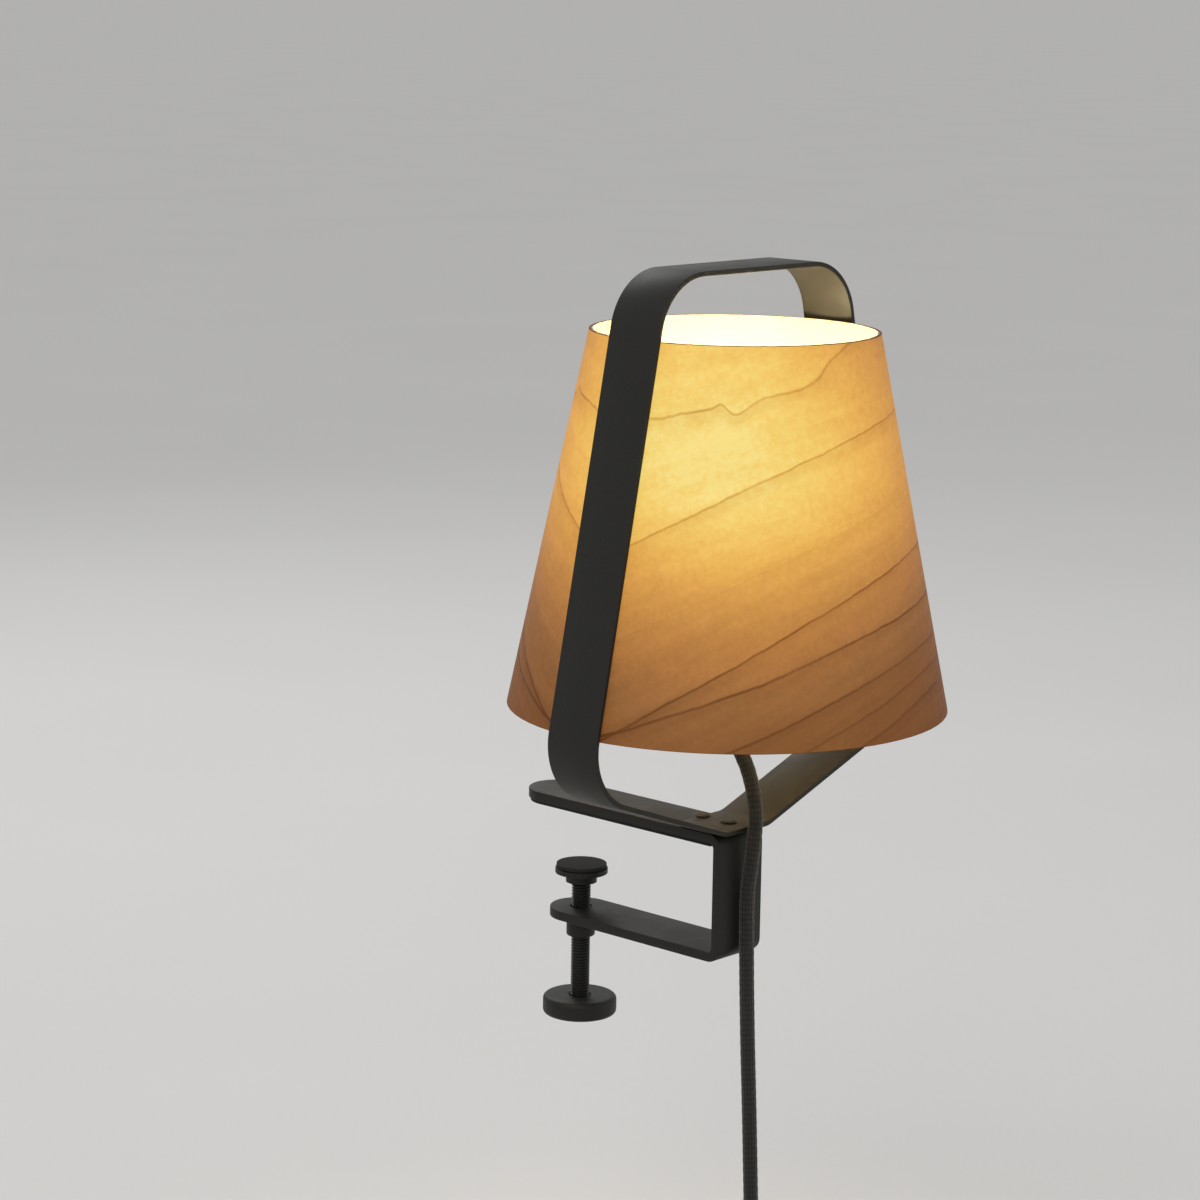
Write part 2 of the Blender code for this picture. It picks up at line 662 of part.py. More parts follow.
# ---------------------------------------------------------------- lampholder and bulb
def lampholder():
    here = (0, HEAD_Y)
    bridge_top = BRIDGE_Z + BRIDGE_THICKNESS
    nut_top = BRIDGE_Z - GAP
    nut_under = nut_top - LOCKNUT_HEIGHT
    grip_top = nut_under - GAP
    grip_tip = grip_top - GRIP_LENGTH
    nipple_low = grip_top - GRIP_SOCKET + 2 * GAP
    cap_low = bridge_top + GAP
    cap_high = cap_low + HOLDER_CAP
    nipple_high = cap_low + HOLDER_CAP / 2

    nipple = sleeve("nipple", NIPPLE_RADIUS, NIPPLE_BORE, nipple_low, nipple_high, here, PARTS, 24)
    finish_part(nipple, material("nipple_brass", BRASS, 0.35, 1.0))

    nut = solid_outline("nipple_nut", [hexagon(LOCKNUT_FLATS)], LOCKNUT_HEIGHT, FLAT,
                        (0, HEAD_Y, nut_under + LOCKNUT_HEIGHT / 2), PARTS)
    combine(nut, rod("nipple_nut_bore", (0, HEAD_Y, nut_under - 0.002), (0, HEAD_Y, nut_top + 0.002),
                     NIPPLE_RADIUS + GAP, CUTTERS))
    finish_part(nut, material("nipple_nut_zinc", ZINC, 0.35, 1.0))

    grip_profile = [
        (0, grip_top - GRIP_SOCKET),
        (NIPPLE_RADIUS + GAP, grip_top - GRIP_SOCKET),
        (NIPPLE_RADIUS + GAP, grip_top),
        (GRIP_TOP_RADIUS, grip_top),
        (GRIP_TOP_RADIUS, grip_top - 0.007),
        (GRIP_TIP_RADIUS, grip_tip + 0.001),
        (GRIP_TIP_RADIUS - 0.001, grip_tip),
        (0, grip_tip),
    ]
    grip = turned("cord_grip", grip_profile, here, PARTS, 32)
    finish_part(grip, material("grip_plastic", BLACK_PLASTIC, 0.45))

    wall = 0.0016
    cap_profile = [
        (NIPPLE_RADIUS + 0.004, cap_low),
        (HOLDER_RADIUS, cap_low + 0.006),
        (HOLDER_RADIUS, cap_high),
        (HOLDER_RADIUS - wall, cap_high),
        (HOLDER_RADIUS - wall, cap_low + 0.0068),
        (NIPPLE_RADIUS + 0.0035, cap_low + 0.0022),
        (NIPPLE_RADIUS + GAP, cap_low + 0.0022),
        (NIPPLE_RADIUS + GAP, cap_low),
    ]
    cap = turned("holder_cap", cap_profile[::-1], here, PARTS, 32, ring=True)
    finish_part(cap, material("holder_cap_plastic", BLACK_PLASTIC, 0.4))

    body_low = cap_high + GAP
    body_high = body_low + HOLDER_BODY
    body = sleeve("holder_body", HOLDER_RADIUS, HOLDER_BORE, body_low, body_high, here, PARTS, 32)
    finish_part(body, material("holder_body_plastic", BLACK_PLASTIC, 0.4))

    insert_low = body_low + 0.001
    insert_high = insert_low + INSERT_HEIGHT
    insert = turned("contact_insert", [(0, insert_high), (HOLDER_BORE - GAP, insert_high),
                    (HOLDER_BORE - GAP, insert_low), (0, insert_low)], here, PARTS, 32)
    finish_part(insert, material("insert_ceramic", WHITE, 0.5))

    for k, side in enumerate((-1, 1)):
        x = side * 0.0055
        head = insert_low - GAP
        ends = (x, HEAD_Y, head - 0.0025), (x, HEAD_Y, head)
        screw = rod(f"terminal_screw_{k + 1}", *ends, 0.0017, PARTS, 16)
        finish_part(screw, material(f"terminal_{k + 1}_brass", BRASS, 0.35, 1.0))

    tongue = box("centre_contact", (-0.0035, HEAD_Y - 0.0015, insert_high + GAP),
                 (0.0035, HEAD_Y + 0.0015, insert_high + GAP + 0.0006), PARTS)
    finish_part(tongue, material("tongue_bronze", BRASS, 0.3, 1.0))

    shell_low = insert_high + GAP
    shell_high = body_high - 0.0015
    shell = sleeve("thread_shell", SHELL_OUTER, SHELL_INNER, shell_low, shell_high, here, PARTS, 32)
    finish_part(shell, material("shell_nickel", NICKEL, 0.3, 1.0))
    return insert_high + GAP + 0.0006, body_high, grip_tip


def bulb(contact_top, holder_top):
    here = (0, HEAD_Y)
    button_low = contact_top + GAP
    cap_low = button_low + 0.0015
    cap_high = cap_low + BULB_CAP_HEIGHT
    top = cap_low - GAP
    button = turned("bulb_contact", [(0, top), (0.0026, top), (0.0020, button_low), (0, button_low)],
                    here, PARTS, 24)
    finish_part(button, material("bulb_contact_tin", ZINC, 0.3, 1.0))

    profile = [(0, cap_high), (BULB_CAP_RADIUS, cap_high), (BULB_CAP_RADIUS, cap_low + 0.003),
               (0.0035, cap_low), (0, cap_low)]
    cap = turned("bulb_screw_cap", profile, here, PARTS, 32)
    finish_part(cap, material("bulb_cap_nickel", NICKEL, 0.25, 1.0))

    collar_low = max(cap_high, holder_top) + GAP
    collar_high = collar_low + BULB_COLLAR_HEIGHT
    wall = 0.0014
    collar_profile = [
        (BULB_COLLAR_TOP, collar_high),
        (BULB_COLLAR_TOP * 0.82, collar_high - BULB_COLLAR_HEIGHT * 0.55),
        (BULB_CAP_RADIUS + 0.0008, collar_low),
        (0.0030, collar_low),
        (0.0030, collar_low + wall),
        (BULB_CAP_RADIUS - 0.001, collar_low + wall),
        (BULB_COLLAR_TOP * 0.82 - wall, collar_high - BULB_COLLAR_HEIGHT * 0.5),
        (BULB_COLLAR_TOP - wall, collar_high),
    ]
    collar = turned("bulb_collar", collar_profile, here, PARTS, 32, ring=True)
    finish_part(collar, material("bulb_collar_plastic", WHITE, 0.4))

    board_radius = BULB_COLLAR_TOP - wall - 2 * GAP
    board_low = collar_high - 0.0014
    board = turned("led_board", [(0, board_low + 0.0012), (board_radius, board_low + 0.0012),
                   (board_radius - 0.0004, board_low), (0, board_low)], here, PARTS, 32)
    finish_part(board, material("led_board_white", WHITE, 0.4))

    start = math.asin(BULB_COLLAR_TOP / BULB_RADIUS)
    centre = collar_high + GAP + BULB_RADIUS * math.cos(start)
    outer, inner = [], []
    rings = 11
    for k in range(rings):
        turn = (math.pi - start) * k / (rings - 1)
        outer.append((BULB_RADIUS * math.sin(turn), centre + BULB_RADIUS * math.cos(turn)))
        inside = BULB_RADIUS - BULB_WALL
        inner.append((inside * math.sin(turn), centre + inside * math.cos(turn)))
    inner[-1] = (inner[-1][0], outer[-1][1])
    globe = turned("bulb_globe", outer + inner[::-1], here, PARTS, 36)
    finish_part(globe, material("bulb_globe_opal", WHITE, 0.35))


# ---------------------------------------------------------------- cord
def smooth_route(points, spacing):
    """Evenly spaced points along a centripetal Catmull-Rom curve through the given ones."""
    line = [Vector(p) for p in points]
    line = [line[0] * 2 - line[1]] + line + [line[-1] * 2 - line[-2]]
    fine = []
    for a, b, c, d in zip(line, line[1:], line[2:], line[3:]):
        knots = [0.0]
        for p, q in ((a, b), (b, c), (c, d)):
            knots.append(knots[-1] + math.sqrt((q - p).length))
        for k in range(24):
            fine.append(catmull_point((a, b, c, d), knots, knots[1] + (knots[2] - knots[1]) * k / 24))
    fine.append(line[-2])
    lengths = [0.0]
    for p, q in zip(fine, fine[1:]):
        lengths.append(lengths[-1] + (q - p).length)
    count = max(2, round(lengths[-1] / spacing))
    even, at = [], 0
    for k in range(count + 1):
        want = lengths[-1] * k / count
        while at < len(fine) - 2 and lengths[at + 1] < want:
            at += 1
        share = (want - lengths[at]) / (lengths[at + 1] - lengths[at])
        even.append(fine[at].lerp(fine[at + 1], min(1.0, share)))
    return even


def catmull_point(corners, knots, t):
    """The point at t of the Barry-Goldman pyramid over four points."""
    level = list(corners)
    for width in (1, 2, 3):
        lower = []
        for i in range(len(level) - 1):
            start, end = knots[i], knots[i + width]
            if width == 3:
                start, end = knots[1], knots[2]
            if width == 2:
                start, end = knots[i], knots[i + 2]
            lower.append(level[i].lerp(level[i + 1], (t - start) / (end - start)))
        level = lower
    return level[0]


def cord_tube(name, route, spacing=CORD_SPACING):
    curve = bpy.data.curves.new(name, "CURVE")
    curve.dimensions = "3D"
    curve.bevel_depth = CORD_RADIUS
    curve.bevel_resolution = 2
    curve.use_fill_caps = True
    points = smooth_route(route, spacing)
    spline = curve.splines.new("POLY")
    spline.points.add(len(points) - 1)
    for point, where in zip(spline.points, points):
        point.co = (*where, 1)
    tube = made_mesh(place(bpy.data.objects.new(name + "_line", curve), PARTS), name, PARTS)
    return finish_part(tube, material(f"{name}_textile", CORD_BLACK, 0.9))


def lamp_cord_route(grip_tip):
    """Out of the grip, over the band's edge, down the clamp and to the switch."""
    switch_z = FLOOR + SWITCH_HALF + GAP / 2
    switch_x = SWITCH_CENTRE[0] - SWITCH_LENGTH / 2 - GAP
    edge_y = HEAD_Y - BAND_WIDTH / 2 - CORD_RADIUS - 2 * GAP
    over = edge_y - HEAD_Y
    edge_z = SEAT_Z + BAND_THICKNESS / 2
    drop = grip_tip - edge_z
    return [
        (0, HEAD_Y, grip_tip - 3 * GAP),
        (0, HEAD_Y + 0.004 * over, grip_tip - 0.05 * drop),
        (0.0001, HEAD_Y + 0.035 * over, grip_tip - 0.115 * drop),
        (0.0004, HEAD_Y + 0.13 * over, grip_tip - 0.19 * drop),
        (0.0008, HEAD_Y + 0.29 * over, grip_tip - 0.28 * drop),
        (0.0011, HEAD_Y + 0.47 * over, grip_tip - 0.38 * drop),
        (0.0012, HEAD_Y + 0.64 * over, grip_tip - 0.48 * drop),
        (0.0011, HEAD_Y + 0.79 * over, grip_tip - 0.60 * drop),
        (0.0009, HEAD_Y + 0.91 * over, grip_tip - 0.73 * drop),
        (0.0006, HEAD_Y + 0.98 * over, grip_tip - 0.86 * drop),
        (0.0003, edge_y, edge_z + 0.0010),
        (0.0001, edge_y + 0.0002, edge_z - 0.0035),
        (0, (edge_y + HANG_Y) / 2 - 0.0003, -0.0070),
        (-0.0002, HANG_Y - 0.0006, -0.0180),
        (0, HANG_Y - 0.0005, -0.040),
        (0.0012, HANG_Y - 0.0009, -0.075),
        (0.0030, HANG_Y - 0.0017, -0.115),
        (0.0045, HANG_Y - 0.0025, -0.155),
        (0.0055, HANG_Y - 0.0037, FLOOR + 0.080),
        (0.0062, LAY_Y + 0.0033, FLOOR + 0.050),
        (0.0085, LAY_Y + 0.0019, FLOOR + 0.0315),
        (0.0157, LAY_Y + 0.0008, FLOOR + 0.0166),
        (0.0255, LAY_Y + 0.0001, FLOOR + 0.0096),
        (switch_x, LAY_Y, switch_z),
    ]


def tail_cord_route():
    """Out of the switch, round a half turn and into the coil."""
    switch_z = FLOOR + SWITCH_HALF + GAP / 2
    switch_x = SWITCH_CENTRE[0] + SWITCH_LENGTH / 2 + GAP
    floor_z = FLOOR + CORD_RADIUS
    return [
        (switch_x + GAP, LAY_Y, switch_z),
        (0.1010, LAY_Y - 0.0001, FLOOR + 0.0079),
        (0.1105, LAY_Y - 0.0019, FLOOR + 0.0064),
        (0.1195, LAY_Y - 0.0076, FLOOR + 0.0046),
        (0.1254, LAY_Y - 0.0164, FLOOR + 0.0034),
        (0.1274, LAY_Y - 0.0266, floor_z),
        (0.1249, LAY_Y - 0.0368, floor_z),
        (0.1182, LAY_Y - 0.0449, floor_z),
        (0.1085, LAY_Y - 0.0498, floor_z),
        (0.0980, LAY_Y - 0.0516, floor_z),
        (0.0600, LAY_Y - 0.0532, floor_z),
        (0.0300, LAY_Y - 0.0552, floor_z),
        (0.0000, LAY_Y - 0.0566, FLOOR + 0.0036),
        (-0.0260, LAY_Y - 0.0570, FLOOR + 0.0041),
    ]


def plug_cord_route():
    """From the coil's top turn to the plug's strain relief."""
    return [
        (-0.0247, LAY_Y + 0.0220, FLOOR + 0.0096),
        (-0.0160, LAY_Y + 0.0228, FLOOR + 0.0092),
        (-0.0075, LAY_Y + 0.0256, FLOOR + 0.0084),
        (0.0000, LAY_Y + 0.0289, FLOOR + 0.0075),
        (0.0060, LAY_Y + 0.0307, FLOOR + 0.0070),
        (PLUG_START[0] - GAP, PLUG_START[1], FLOOR + PLUG_THICKNESS / 2),
    ]


def cord_coil():
    low = FLOOR + TIE_THICKNESS + GAP
    coil = sleeve("cord_coil", COIL_OUTER, COIL_INNER, low, low + COIL_HEIGHT, COIL_CENTRE, PARTS, 40)
    finish_part(coil, material("coil_textile", CORD_BLACK, 0.9))
    inner_x = math.sqrt(COIL_INNER**2 - (TIE_WIDTH / 2) ** 2) - 2 * GAP
    outer_x = COIL_OUTER + GAP
    high = low + COIL_HEIGHT + GAP
    hole = [(-outer_x, low - GAP), (-inner_x, low - GAP), (-inner_x, high), (-outer_x, high)]
    out = TIE_THICKNESS
    rim = [(-outer_x - out, low - GAP - out), (-inner_x + out, low - GAP - out),
           (-inner_x + out, high + out), (-outer_x - out, high + out)]
    tie = solid_outline("coil_tie", [rim, hole], TIE_WIDTH, ACROSS, (*COIL_CENTRE, 0), PARTS)
    finish_part(tie, material("tie_webbing", BLACK_PLASTIC, 0.8))


# ---------------------------------------------------------------- switch on the cord
def switch_outline(inset=0.0):
    half, nose, side = SWITCH_LENGTH / 2, SWITCH_NOSE / 2, SWITCH_WIDTH / 2
    shoulder = half - SWITCH_TAPER
    half, nose, side = half - inset, nose - inset, side - inset
    return [(half, -nose), (half, nose), (shoulder, side), (-shoulder, side),
            (-half, nose), (-half, -nose), (-shoulder, -side), (shoulder, -side)]


def switch(axis):
    x, y = SWITCH_CENTRE
    split = FLOOR + SWITCH_HALF
    top_low, top_high = split + GAP, split + GAP + SWITCH_HALF
    cavity = SWITCH_CAVITY / 2
    inner = SWITCH_WIDTH / 2 - SWITCH_WALL
    floor_z = FLOOR + SWITCH_WALL
    axis_z = FLOOR + ROCKER_AXIS

    lower = solid_outline("switch_lower_shell", [switch_outline()], SWITCH_HALF, FLAT,
                          (x, y, FLOOR + SWITCH_HALF / 2), PARTS)
    hollow = box("lower_hollow", (x - cavity + 0.003, y - inner, floor_z),
                 (x + cavity - 0.003, y + inner, split + 0.003), CUTTERS)
    for side in (-1, 1):
        near, far = sorted((y + side * 0.0056, y + side * 0.0085))
        post = box(f"pin_post_{side + 1}", (x - 0.0015, near, FLOOR + 0.001),
                   (x + 0.0015, far, axis_z - ROCKER_PIN_RADIUS - GAP), CUTTERS)
        combine(hollow, post)
    combine(lower, hollow)
    upper = solid_outline("switch_upper_shell", [switch_outline()], SWITCH_HALF, FLAT,
                          (x, y, top_low + SWITCH_HALF / 2), PARTS)
    combine(upper, box("upper_hollow", (x - cavity + 0.003, y - inner, top_low - 0.003),
                       (x + cavity - 0.003, y + inner, top_high - SWITCH_WALL), CUTTERS))
    window = ROCKER_RADIUS - 0.0004
    half_width = ROCKER_WIDTH / 2 + GAP
    combine(upper, box("rocker_window", (x - window, y - half_width, top_high - 0.006),
                       (x + window, y + half_width, top_high + 0.004), CUTTERS))
    for k, side in enumerate((-1, 1)):
        place_x, place_y = x + side * 0.0205, y - side * 0.0062
        shank = 0.0011
        combine(lower, rod(f"switch_screw_hole_{k}", (place_x, place_y, FLOOR - 0.001),
                           (place_x, place_y, split + 0.001), shank + GAP, CUTTERS, 16))
        combine(lower, rod(f"switch_screw_sink_{k}", (place_x, place_y, FLOOR - 0.001),
                           (place_x, place_y, FLOOR + 0.0018), 0.0019 + GAP, CUTTERS, 16))
        combine(upper, rod(f"switch_screw_blind_{k}", (place_x, place_y, top_low - 0.001),
                           (place_x, place_y, top_low + 0.005), shank + GAP, CUTTERS, 16))
        screw = turned(f"switch_screw_{k + 1}", [(0, top_low + 0.0045), (shank, top_low + 0.0045),
                       (shank, FLOOR + 0.0015), (0.0019, FLOOR + 0.0015), (0.0019, FLOOR + 0.0003),
                       (0, FLOOR + 0.0003)], (place_x, place_y), PARTS, 16)
        finish_part(screw, material(f"switch_screw_{k + 1}_steel", ZINC, 0.35, 1.0))
        block = box(f"switch_terminal_{k + 1}", (x + side * 0.0130 - 0.003, y - 0.003, floor_z + GAP),
                    (x + side * 0.0130 + 0.003, y + 0.003, floor_z + GAP + 0.0042), PARTS)
        finish_part(block, material(f"switch_terminal_{k + 1}_brass", BRASS, 0.35, 1.0))
    strip_low = floor_z + GAP
    contact = box("switch_contact", (x - 0.0094, y - 0.0022, strip_low),
                  (x + 0.0094, y + 0.0022, strip_low + 0.0006), PARTS)
    finish_part(contact, material("switch_contact_bronze", BRASS, 0.3, 1.0))
    finish_part(lower, material("switch_lower_plastic", BLACK_PLASTIC, 0.4))
    finish_part(upper, material("switch_upper_plastic", BLACK_PLASTIC, 0.4))

    pin = rod("rocker_pin", (x, y - 0.0083, axis_z), (x, y + 0.0083, axis_z), ROCKER_PIN_RADIUS, PARTS, 24)
    finish_part(pin, material("rocker_pin_steel", ZINC, 0.3, 1.0))

    arc = []
    for k in range(5):
        turn = math.radians(-15 + 53 * k / 4)
        arc.append((ROCKER_RADIUS * math.cos(turn), ROCKER_RADIUS * math.sin(turn)))
    profile = arc + [(0, 0.0048)] + [(-u, v) for u, v in arc[::-1]] + [(-0.003, -0.0026), (0.003, -0.0026)]
    spin = Matrix.Rotation(ROCKER_TILT, 2)
    tilted = [tuple(spin @ Vector(p)) for p in profile]
    rocker = solid_outline("switch_rocker", [tilted], ROCKER_WIDTH, ACROSS, (x, y, axis_z), PARTS)
    bore_ends = (x, y - 0.01, axis_z), (x, y + 0.01, axis_z)
    combine(rocker, rod("rocker_bore", *bore_ends, ROCKER_PIN_RADIUS + RUNNING, CUTTERS))
    finish_part(rocker, material("rocker_plastic", BLACK_PLASTIC, 0.3), axis)


# ---------------------------------------------------------------- plug
def plug():
    x, y = PLUG_START
    middle = FLOOR + PLUG_THICKNESS / 2
    relief_end = x + PLUG_RELIEF
    ends = (x, y, middle), (relief_end, y, middle)
    relief = rod("plug_relief", *ends, CORD_RADIUS + 0.0008, PARTS, 24, 0.0058)
    finish_part(relief, material("relief_rubber", BLACK_PLASTIC, 0.5))
    back = relief_end + GAP
    front = back + PLUG_LENGTH
    half = PLUG_WIDTH / 2
    waist = 0.008
    outline = [(back, y - waist), (front - 0.016, y - half), (front, y - half), (front, y + half),
               (front - 0.016, y + half), (back, y + waist)]
    body = solid_outline("plug_body", [outline], PLUG_THICKNESS, FLAT, (0, 0, middle), PARTS)
    bevelled(body, 0.003)
    finish_part(body, material("plug_plastic", BLACK_PLASTIC, 0.4))
    for k, side in enumerate((-1, 1)):
        pin_y = y + side * PIN_SPACING / 2
        ends = (front + GAP, pin_y, middle), (front + GAP + PIN_LENGTH, pin_y, middle)
        pin = rod(f"plug_pin_{k + 1}", *ends, PIN_RADIUS, PARTS, 20)
        bevelled(pin, 0.0008)
        finish_part(pin, material(f"plug_pin_{k + 1}_nickel", NICKEL, 0.25, 1.0))


# ---------------------------------------------------------------- build
empty_scene()
PARTS = collection("clip_on_reading_lamp")
CUTTERS = collection("cutters")

clamp_axis = axis_empty("clamp_axis", (0, 0, 0))
rocker_axis = axis_empty("rocker_axis", (*SWITCH_CENTRE, FLOOR + ROCKER_AXIS))

clamp_bracket()
jaw_pad()
thread_boss()
pad_ceiling, pad_hub = pressure_pad(clamp_axis)
clamp_screw(clamp_axis, pad_ceiling, pad_hub)
clamp_knob(clamp_axis)
band_frame()
for rivet_number, rivet_y in enumerate(rivet_places()):
    band_rivet(rivet_number + 1, rivet_y)
shade()
bridge()
for stud_side in (-1, 1):
    bridge_fixing(stud_side)
contact_height, holder_height, grip_end = lampholder()
bulb(contact_height, holder_height)
cord_tube("lamp_cord", lamp_cord_route(grip_end), 0.009)
switch(rocker_axis)
cord_tube("tail_cord", tail_cord_route(), 0.009)
cord_coil()
cord_tube("plug_cord", plug_cord_route(), 0.008)
plug()
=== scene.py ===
"""Looks of the clamp-on reading lamp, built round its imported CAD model."""

import math

import bmesh
import bpy
from mathutils import Matrix, Vector


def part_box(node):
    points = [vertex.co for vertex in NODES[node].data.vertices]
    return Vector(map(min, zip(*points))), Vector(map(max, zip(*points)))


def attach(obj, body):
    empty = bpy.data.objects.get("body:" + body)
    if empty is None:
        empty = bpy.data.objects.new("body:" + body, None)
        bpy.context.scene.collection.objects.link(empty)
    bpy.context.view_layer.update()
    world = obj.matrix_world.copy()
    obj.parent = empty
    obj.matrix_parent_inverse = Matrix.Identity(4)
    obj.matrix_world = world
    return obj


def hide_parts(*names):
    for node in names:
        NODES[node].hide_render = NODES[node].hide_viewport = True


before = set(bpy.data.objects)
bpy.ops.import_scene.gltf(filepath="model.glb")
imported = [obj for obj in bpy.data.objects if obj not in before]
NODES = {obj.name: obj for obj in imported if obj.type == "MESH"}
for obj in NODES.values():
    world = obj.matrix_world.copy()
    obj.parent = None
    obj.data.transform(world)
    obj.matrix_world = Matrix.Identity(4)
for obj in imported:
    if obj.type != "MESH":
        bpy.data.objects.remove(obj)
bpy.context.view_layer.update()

# Sizes shared with the CAD, in metres. A strip's or bar's path runs through its middle.
HEAD_Y = -0.0775
FLOOR = -0.275
SHADE_LOW, SHADE_HIGH = 0.056, 0.205
SHADE_BOTTOM_RADIUS, SHADE_TOP_RADIUS = 0.0875, 0.057
BAND_WIDTH, BAND_THICKNESS = 0.025, 0.002
BAND_LOW, BAND_HIGH = 0.0066, 0.2295
BAND_SEAT = 0.013
BAND_SLOPE = math.radians(20)
BAND_OFF_SHADE = 0.0013
BAND_SEAT_BEND, BAND_CORNER_BEND = 0.012, 0.025
BAR_WIDTH, BAR_THICKNESS = 0.026, 0.004
BAR_BEND = 0.004
BAR_BACK_Y = -0.085
UPPER_ARM_TIP, UPPER_ARM_Z = 0.026, 0.0033
LOWER_ARM_TIP, LOWER_ARM_Z = 0.013, -0.0455
ARM_HOLE_RADIUS = 0.0046
SCREW_RADIUS, THREAD_PITCH, THREAD_DEPTH = 0.004, 0.00125, 0.0007
NECK_RADIUS, HEAD_RADIUS = 0.0025, 0.0034
NECK_LOW, NECK_HIGH = -0.0332, -0.03095
DISC_RADIUS, DISC_BORE = 0.0155, 0.0043
BOSS_RADIUS, BOSS_BORE = 0.006, 0.00405
CORD_RADIUS = 0.003
CORD_GAP = 0.0003
HANG_Y = -0.0903
LAY_Y = HANG_Y - 0.0082
GRIP_TIP = 0.0534
SWITCH_CORD_Z = FLOOR + 0.00815
BULB_Z = 0.1472

# The coil's turns: their radii, and the heights of the lower turns, the upper ones and the crossing.
COIL_RADII = (0.041, 0.035, 0.029, 0.032, 0.038)
COIL_LOW, COIL_HIGH, COIL_OVER = FLOOR + 0.0041, FLOOR + 0.0096, FLOOR + 0.0101

# The braid's repeat along the cord, how strongly the veneer's painted glow shows, and how strongly the bulb
# glows.
BRAID_PITCH = 0.0042
GLOW = 1.0
BULB_LIGHT = 66.0


# ---------------------------------------------------------------- camera
def aim_camera():
    """Stand where the photograph was taken from."""
    azimuth, elevation, roll = (math.radians(a) for a in (-47.38, 10.89, 0.87))
    distance, aim_right, aim_height = 1.372, 0.0060, 0.0869
    back = Vector(
        (
            math.sin(azimuth) * math.cos(elevation),
            -math.cos(azimuth) * math.cos(elevation),
            math.sin(elevation),
        )
    )
    right = Vector((math.cos(azimuth), math.sin(azimuth), 0))
    up = back.cross(right)
    right, up = (
        math.cos(roll) * right + math.sin(roll) * up,
        math.cos(roll) * up - math.sin(roll) * right,
    )
    aim = Vector((aim_right * math.cos(azimuth), aim_right * math.sin(azimuth), aim_height))
    camera = bpy.data.objects.new("camera", bpy.data.cameras.new("camera"))
    bpy.context.scene.collection.objects.link(camera)
    turn = Matrix((right, up, back)).transposed().to_4x4()
    camera.matrix_world = Matrix.Translation(aim + distance * back) @ turn
    camera.data.sensor_width = 36
    camera.data.lens = 100
    camera.data.clip_end = 500
    bpy.context.scene.camera = camera


# ---------------------------------------------------------------- mesh helpers
def new_object(name, verts, faces, smooth_angle=35, uvs=None):
    mesh = bpy.data.meshes.new(name)
    mesh.from_pydata([tuple(v) for v in verts], [], faces)
    if uvs is not None:
        layer = mesh.uv_layers.new(name="UVMap")
        for loop, uv in zip(layer.data, uvs):
            loop.uv = uv
    mesh.validate()
    obj = bpy.data.objects.new(name, mesh)
    bpy.context.scene.collection.objects.link(obj)
    soften(obj, smooth_angle)
    return obj


def soften(obj, angle=35):
    obj.data.shade_smooth()
    if angle < 180:
        obj.data.set_sharp_from_angle(angle=math.radians(angle))


def grid_faces(rows, columns, closed_rows=False):
    """Four-sided faces between rings of points, each ring closed on itself."""
    faces = []
    for i in range(rows if closed_rows else rows - 1):
        low, high = i * columns, (i + 1) % rows * columns
        for j in range(columns):
            n = (j + 1) % columns
            faces.append((low + j, low + n, high + n, high + j))
    return faces


def outward(obj):
    """Turn every face of a closed mesh to look outwards."""
    bm = bmesh.new()
    bm.from_mesh(obj.data)
    bmesh.ops.recalc_face_normals(bm, faces=bm.faces)
    bm.to_mesh(obj.data)
    bm.free()
    return obj


def turned(name, profile, steps, angle=35):
    """A solid of revolution about the screw's axis; profile points on the axis close its ends."""
    verts, rings = [], []
    for radius, z in profile:
        if radius < 1e-7:
            rings.append([len(verts)])
            verts.append((0, 0, z))
        else:
            rings.append(list(range(len(verts), len(verts) + steps)))
            for k in range(steps):
                turn = math.tau * k / steps
                verts.append((radius * math.cos(turn), radius * math.sin(turn), z))
    closed = len(rings[0]) > 1 and len(rings[-1]) > 1
    pairs = list(zip(rings, rings[1:])) + ([(rings[-1], rings[0])] if closed else [])
    faces = []
    for a, b in pairs:
        for k in range(steps):
            n = (k + 1) % steps
            if len(a) == 1:
                faces.append((a[0], b[k], b[n]))
            elif len(b) == 1:
                faces.append((a[k], b[0], a[n]))
            else:
                faces.append((a[k], b[k], b[n], a[n]))
    return outward(new_object(name, verts, faces, angle))


def rounded_path(corners, radii, closed, step=math.radians(4)):
    """(point, left normal) pairs along a path whose corners are rounded to the given radii."""
    path = []
    count = len(corners)
    for i, (corner, radius) in enumerate(zip(corners, radii)):
        corner = Vector(corner)
        if not closed and i in (0, count - 1):
            other = Vector(corners[1 if i == 0 else count - 2])
            along = (other - corner if i == 0 else corner - other).normalized()
            path.append((corner, Vector((-along.y, along.x))))
            continue
        before = (corner - Vector(corners[i - 1])).normalized()
        after = (Vector(corners[(i + 1) % count]) - corner).normalized()
        turn = math.atan2(before.x * after.y - before.y * after.x, before.dot(after))
        side = 1 if turn > 0 else -1
        normal = Vector((-before.y, before.x))
        centre = corner - before * radius * math.tan(abs(turn) / 2) + normal * side * radius
        pieces = max(2, math.ceil(abs(turn) / step))
        for k in range(pieces + 1):
            spun = Matrix.Rotation(turn * k / pieces, 2) @ normal
            path.append((centre - spun * side * radius, spun))
    return path


def bar_section(half_width, half_thickness, edge):
    """A rectangle with rounded corners, as (across the width, through the thickness)."""
    edge = min(edge, half_width * 0.6, half_thickness * 0.9)
    points = []
    for sx, sy, start in ((1, 1, 0), (-1, 1, 90), (-1, -1, 180), (1, -1, 270)):
        for k in range(4):
            turn = math.radians(start + 30 * k)
            points.append(
                (
                    sx * (half_width - edge) + edge * math.cos(turn),
                    sy * (half_thickness - edge) + edge * math.sin(turn),
                )
            )
    return points


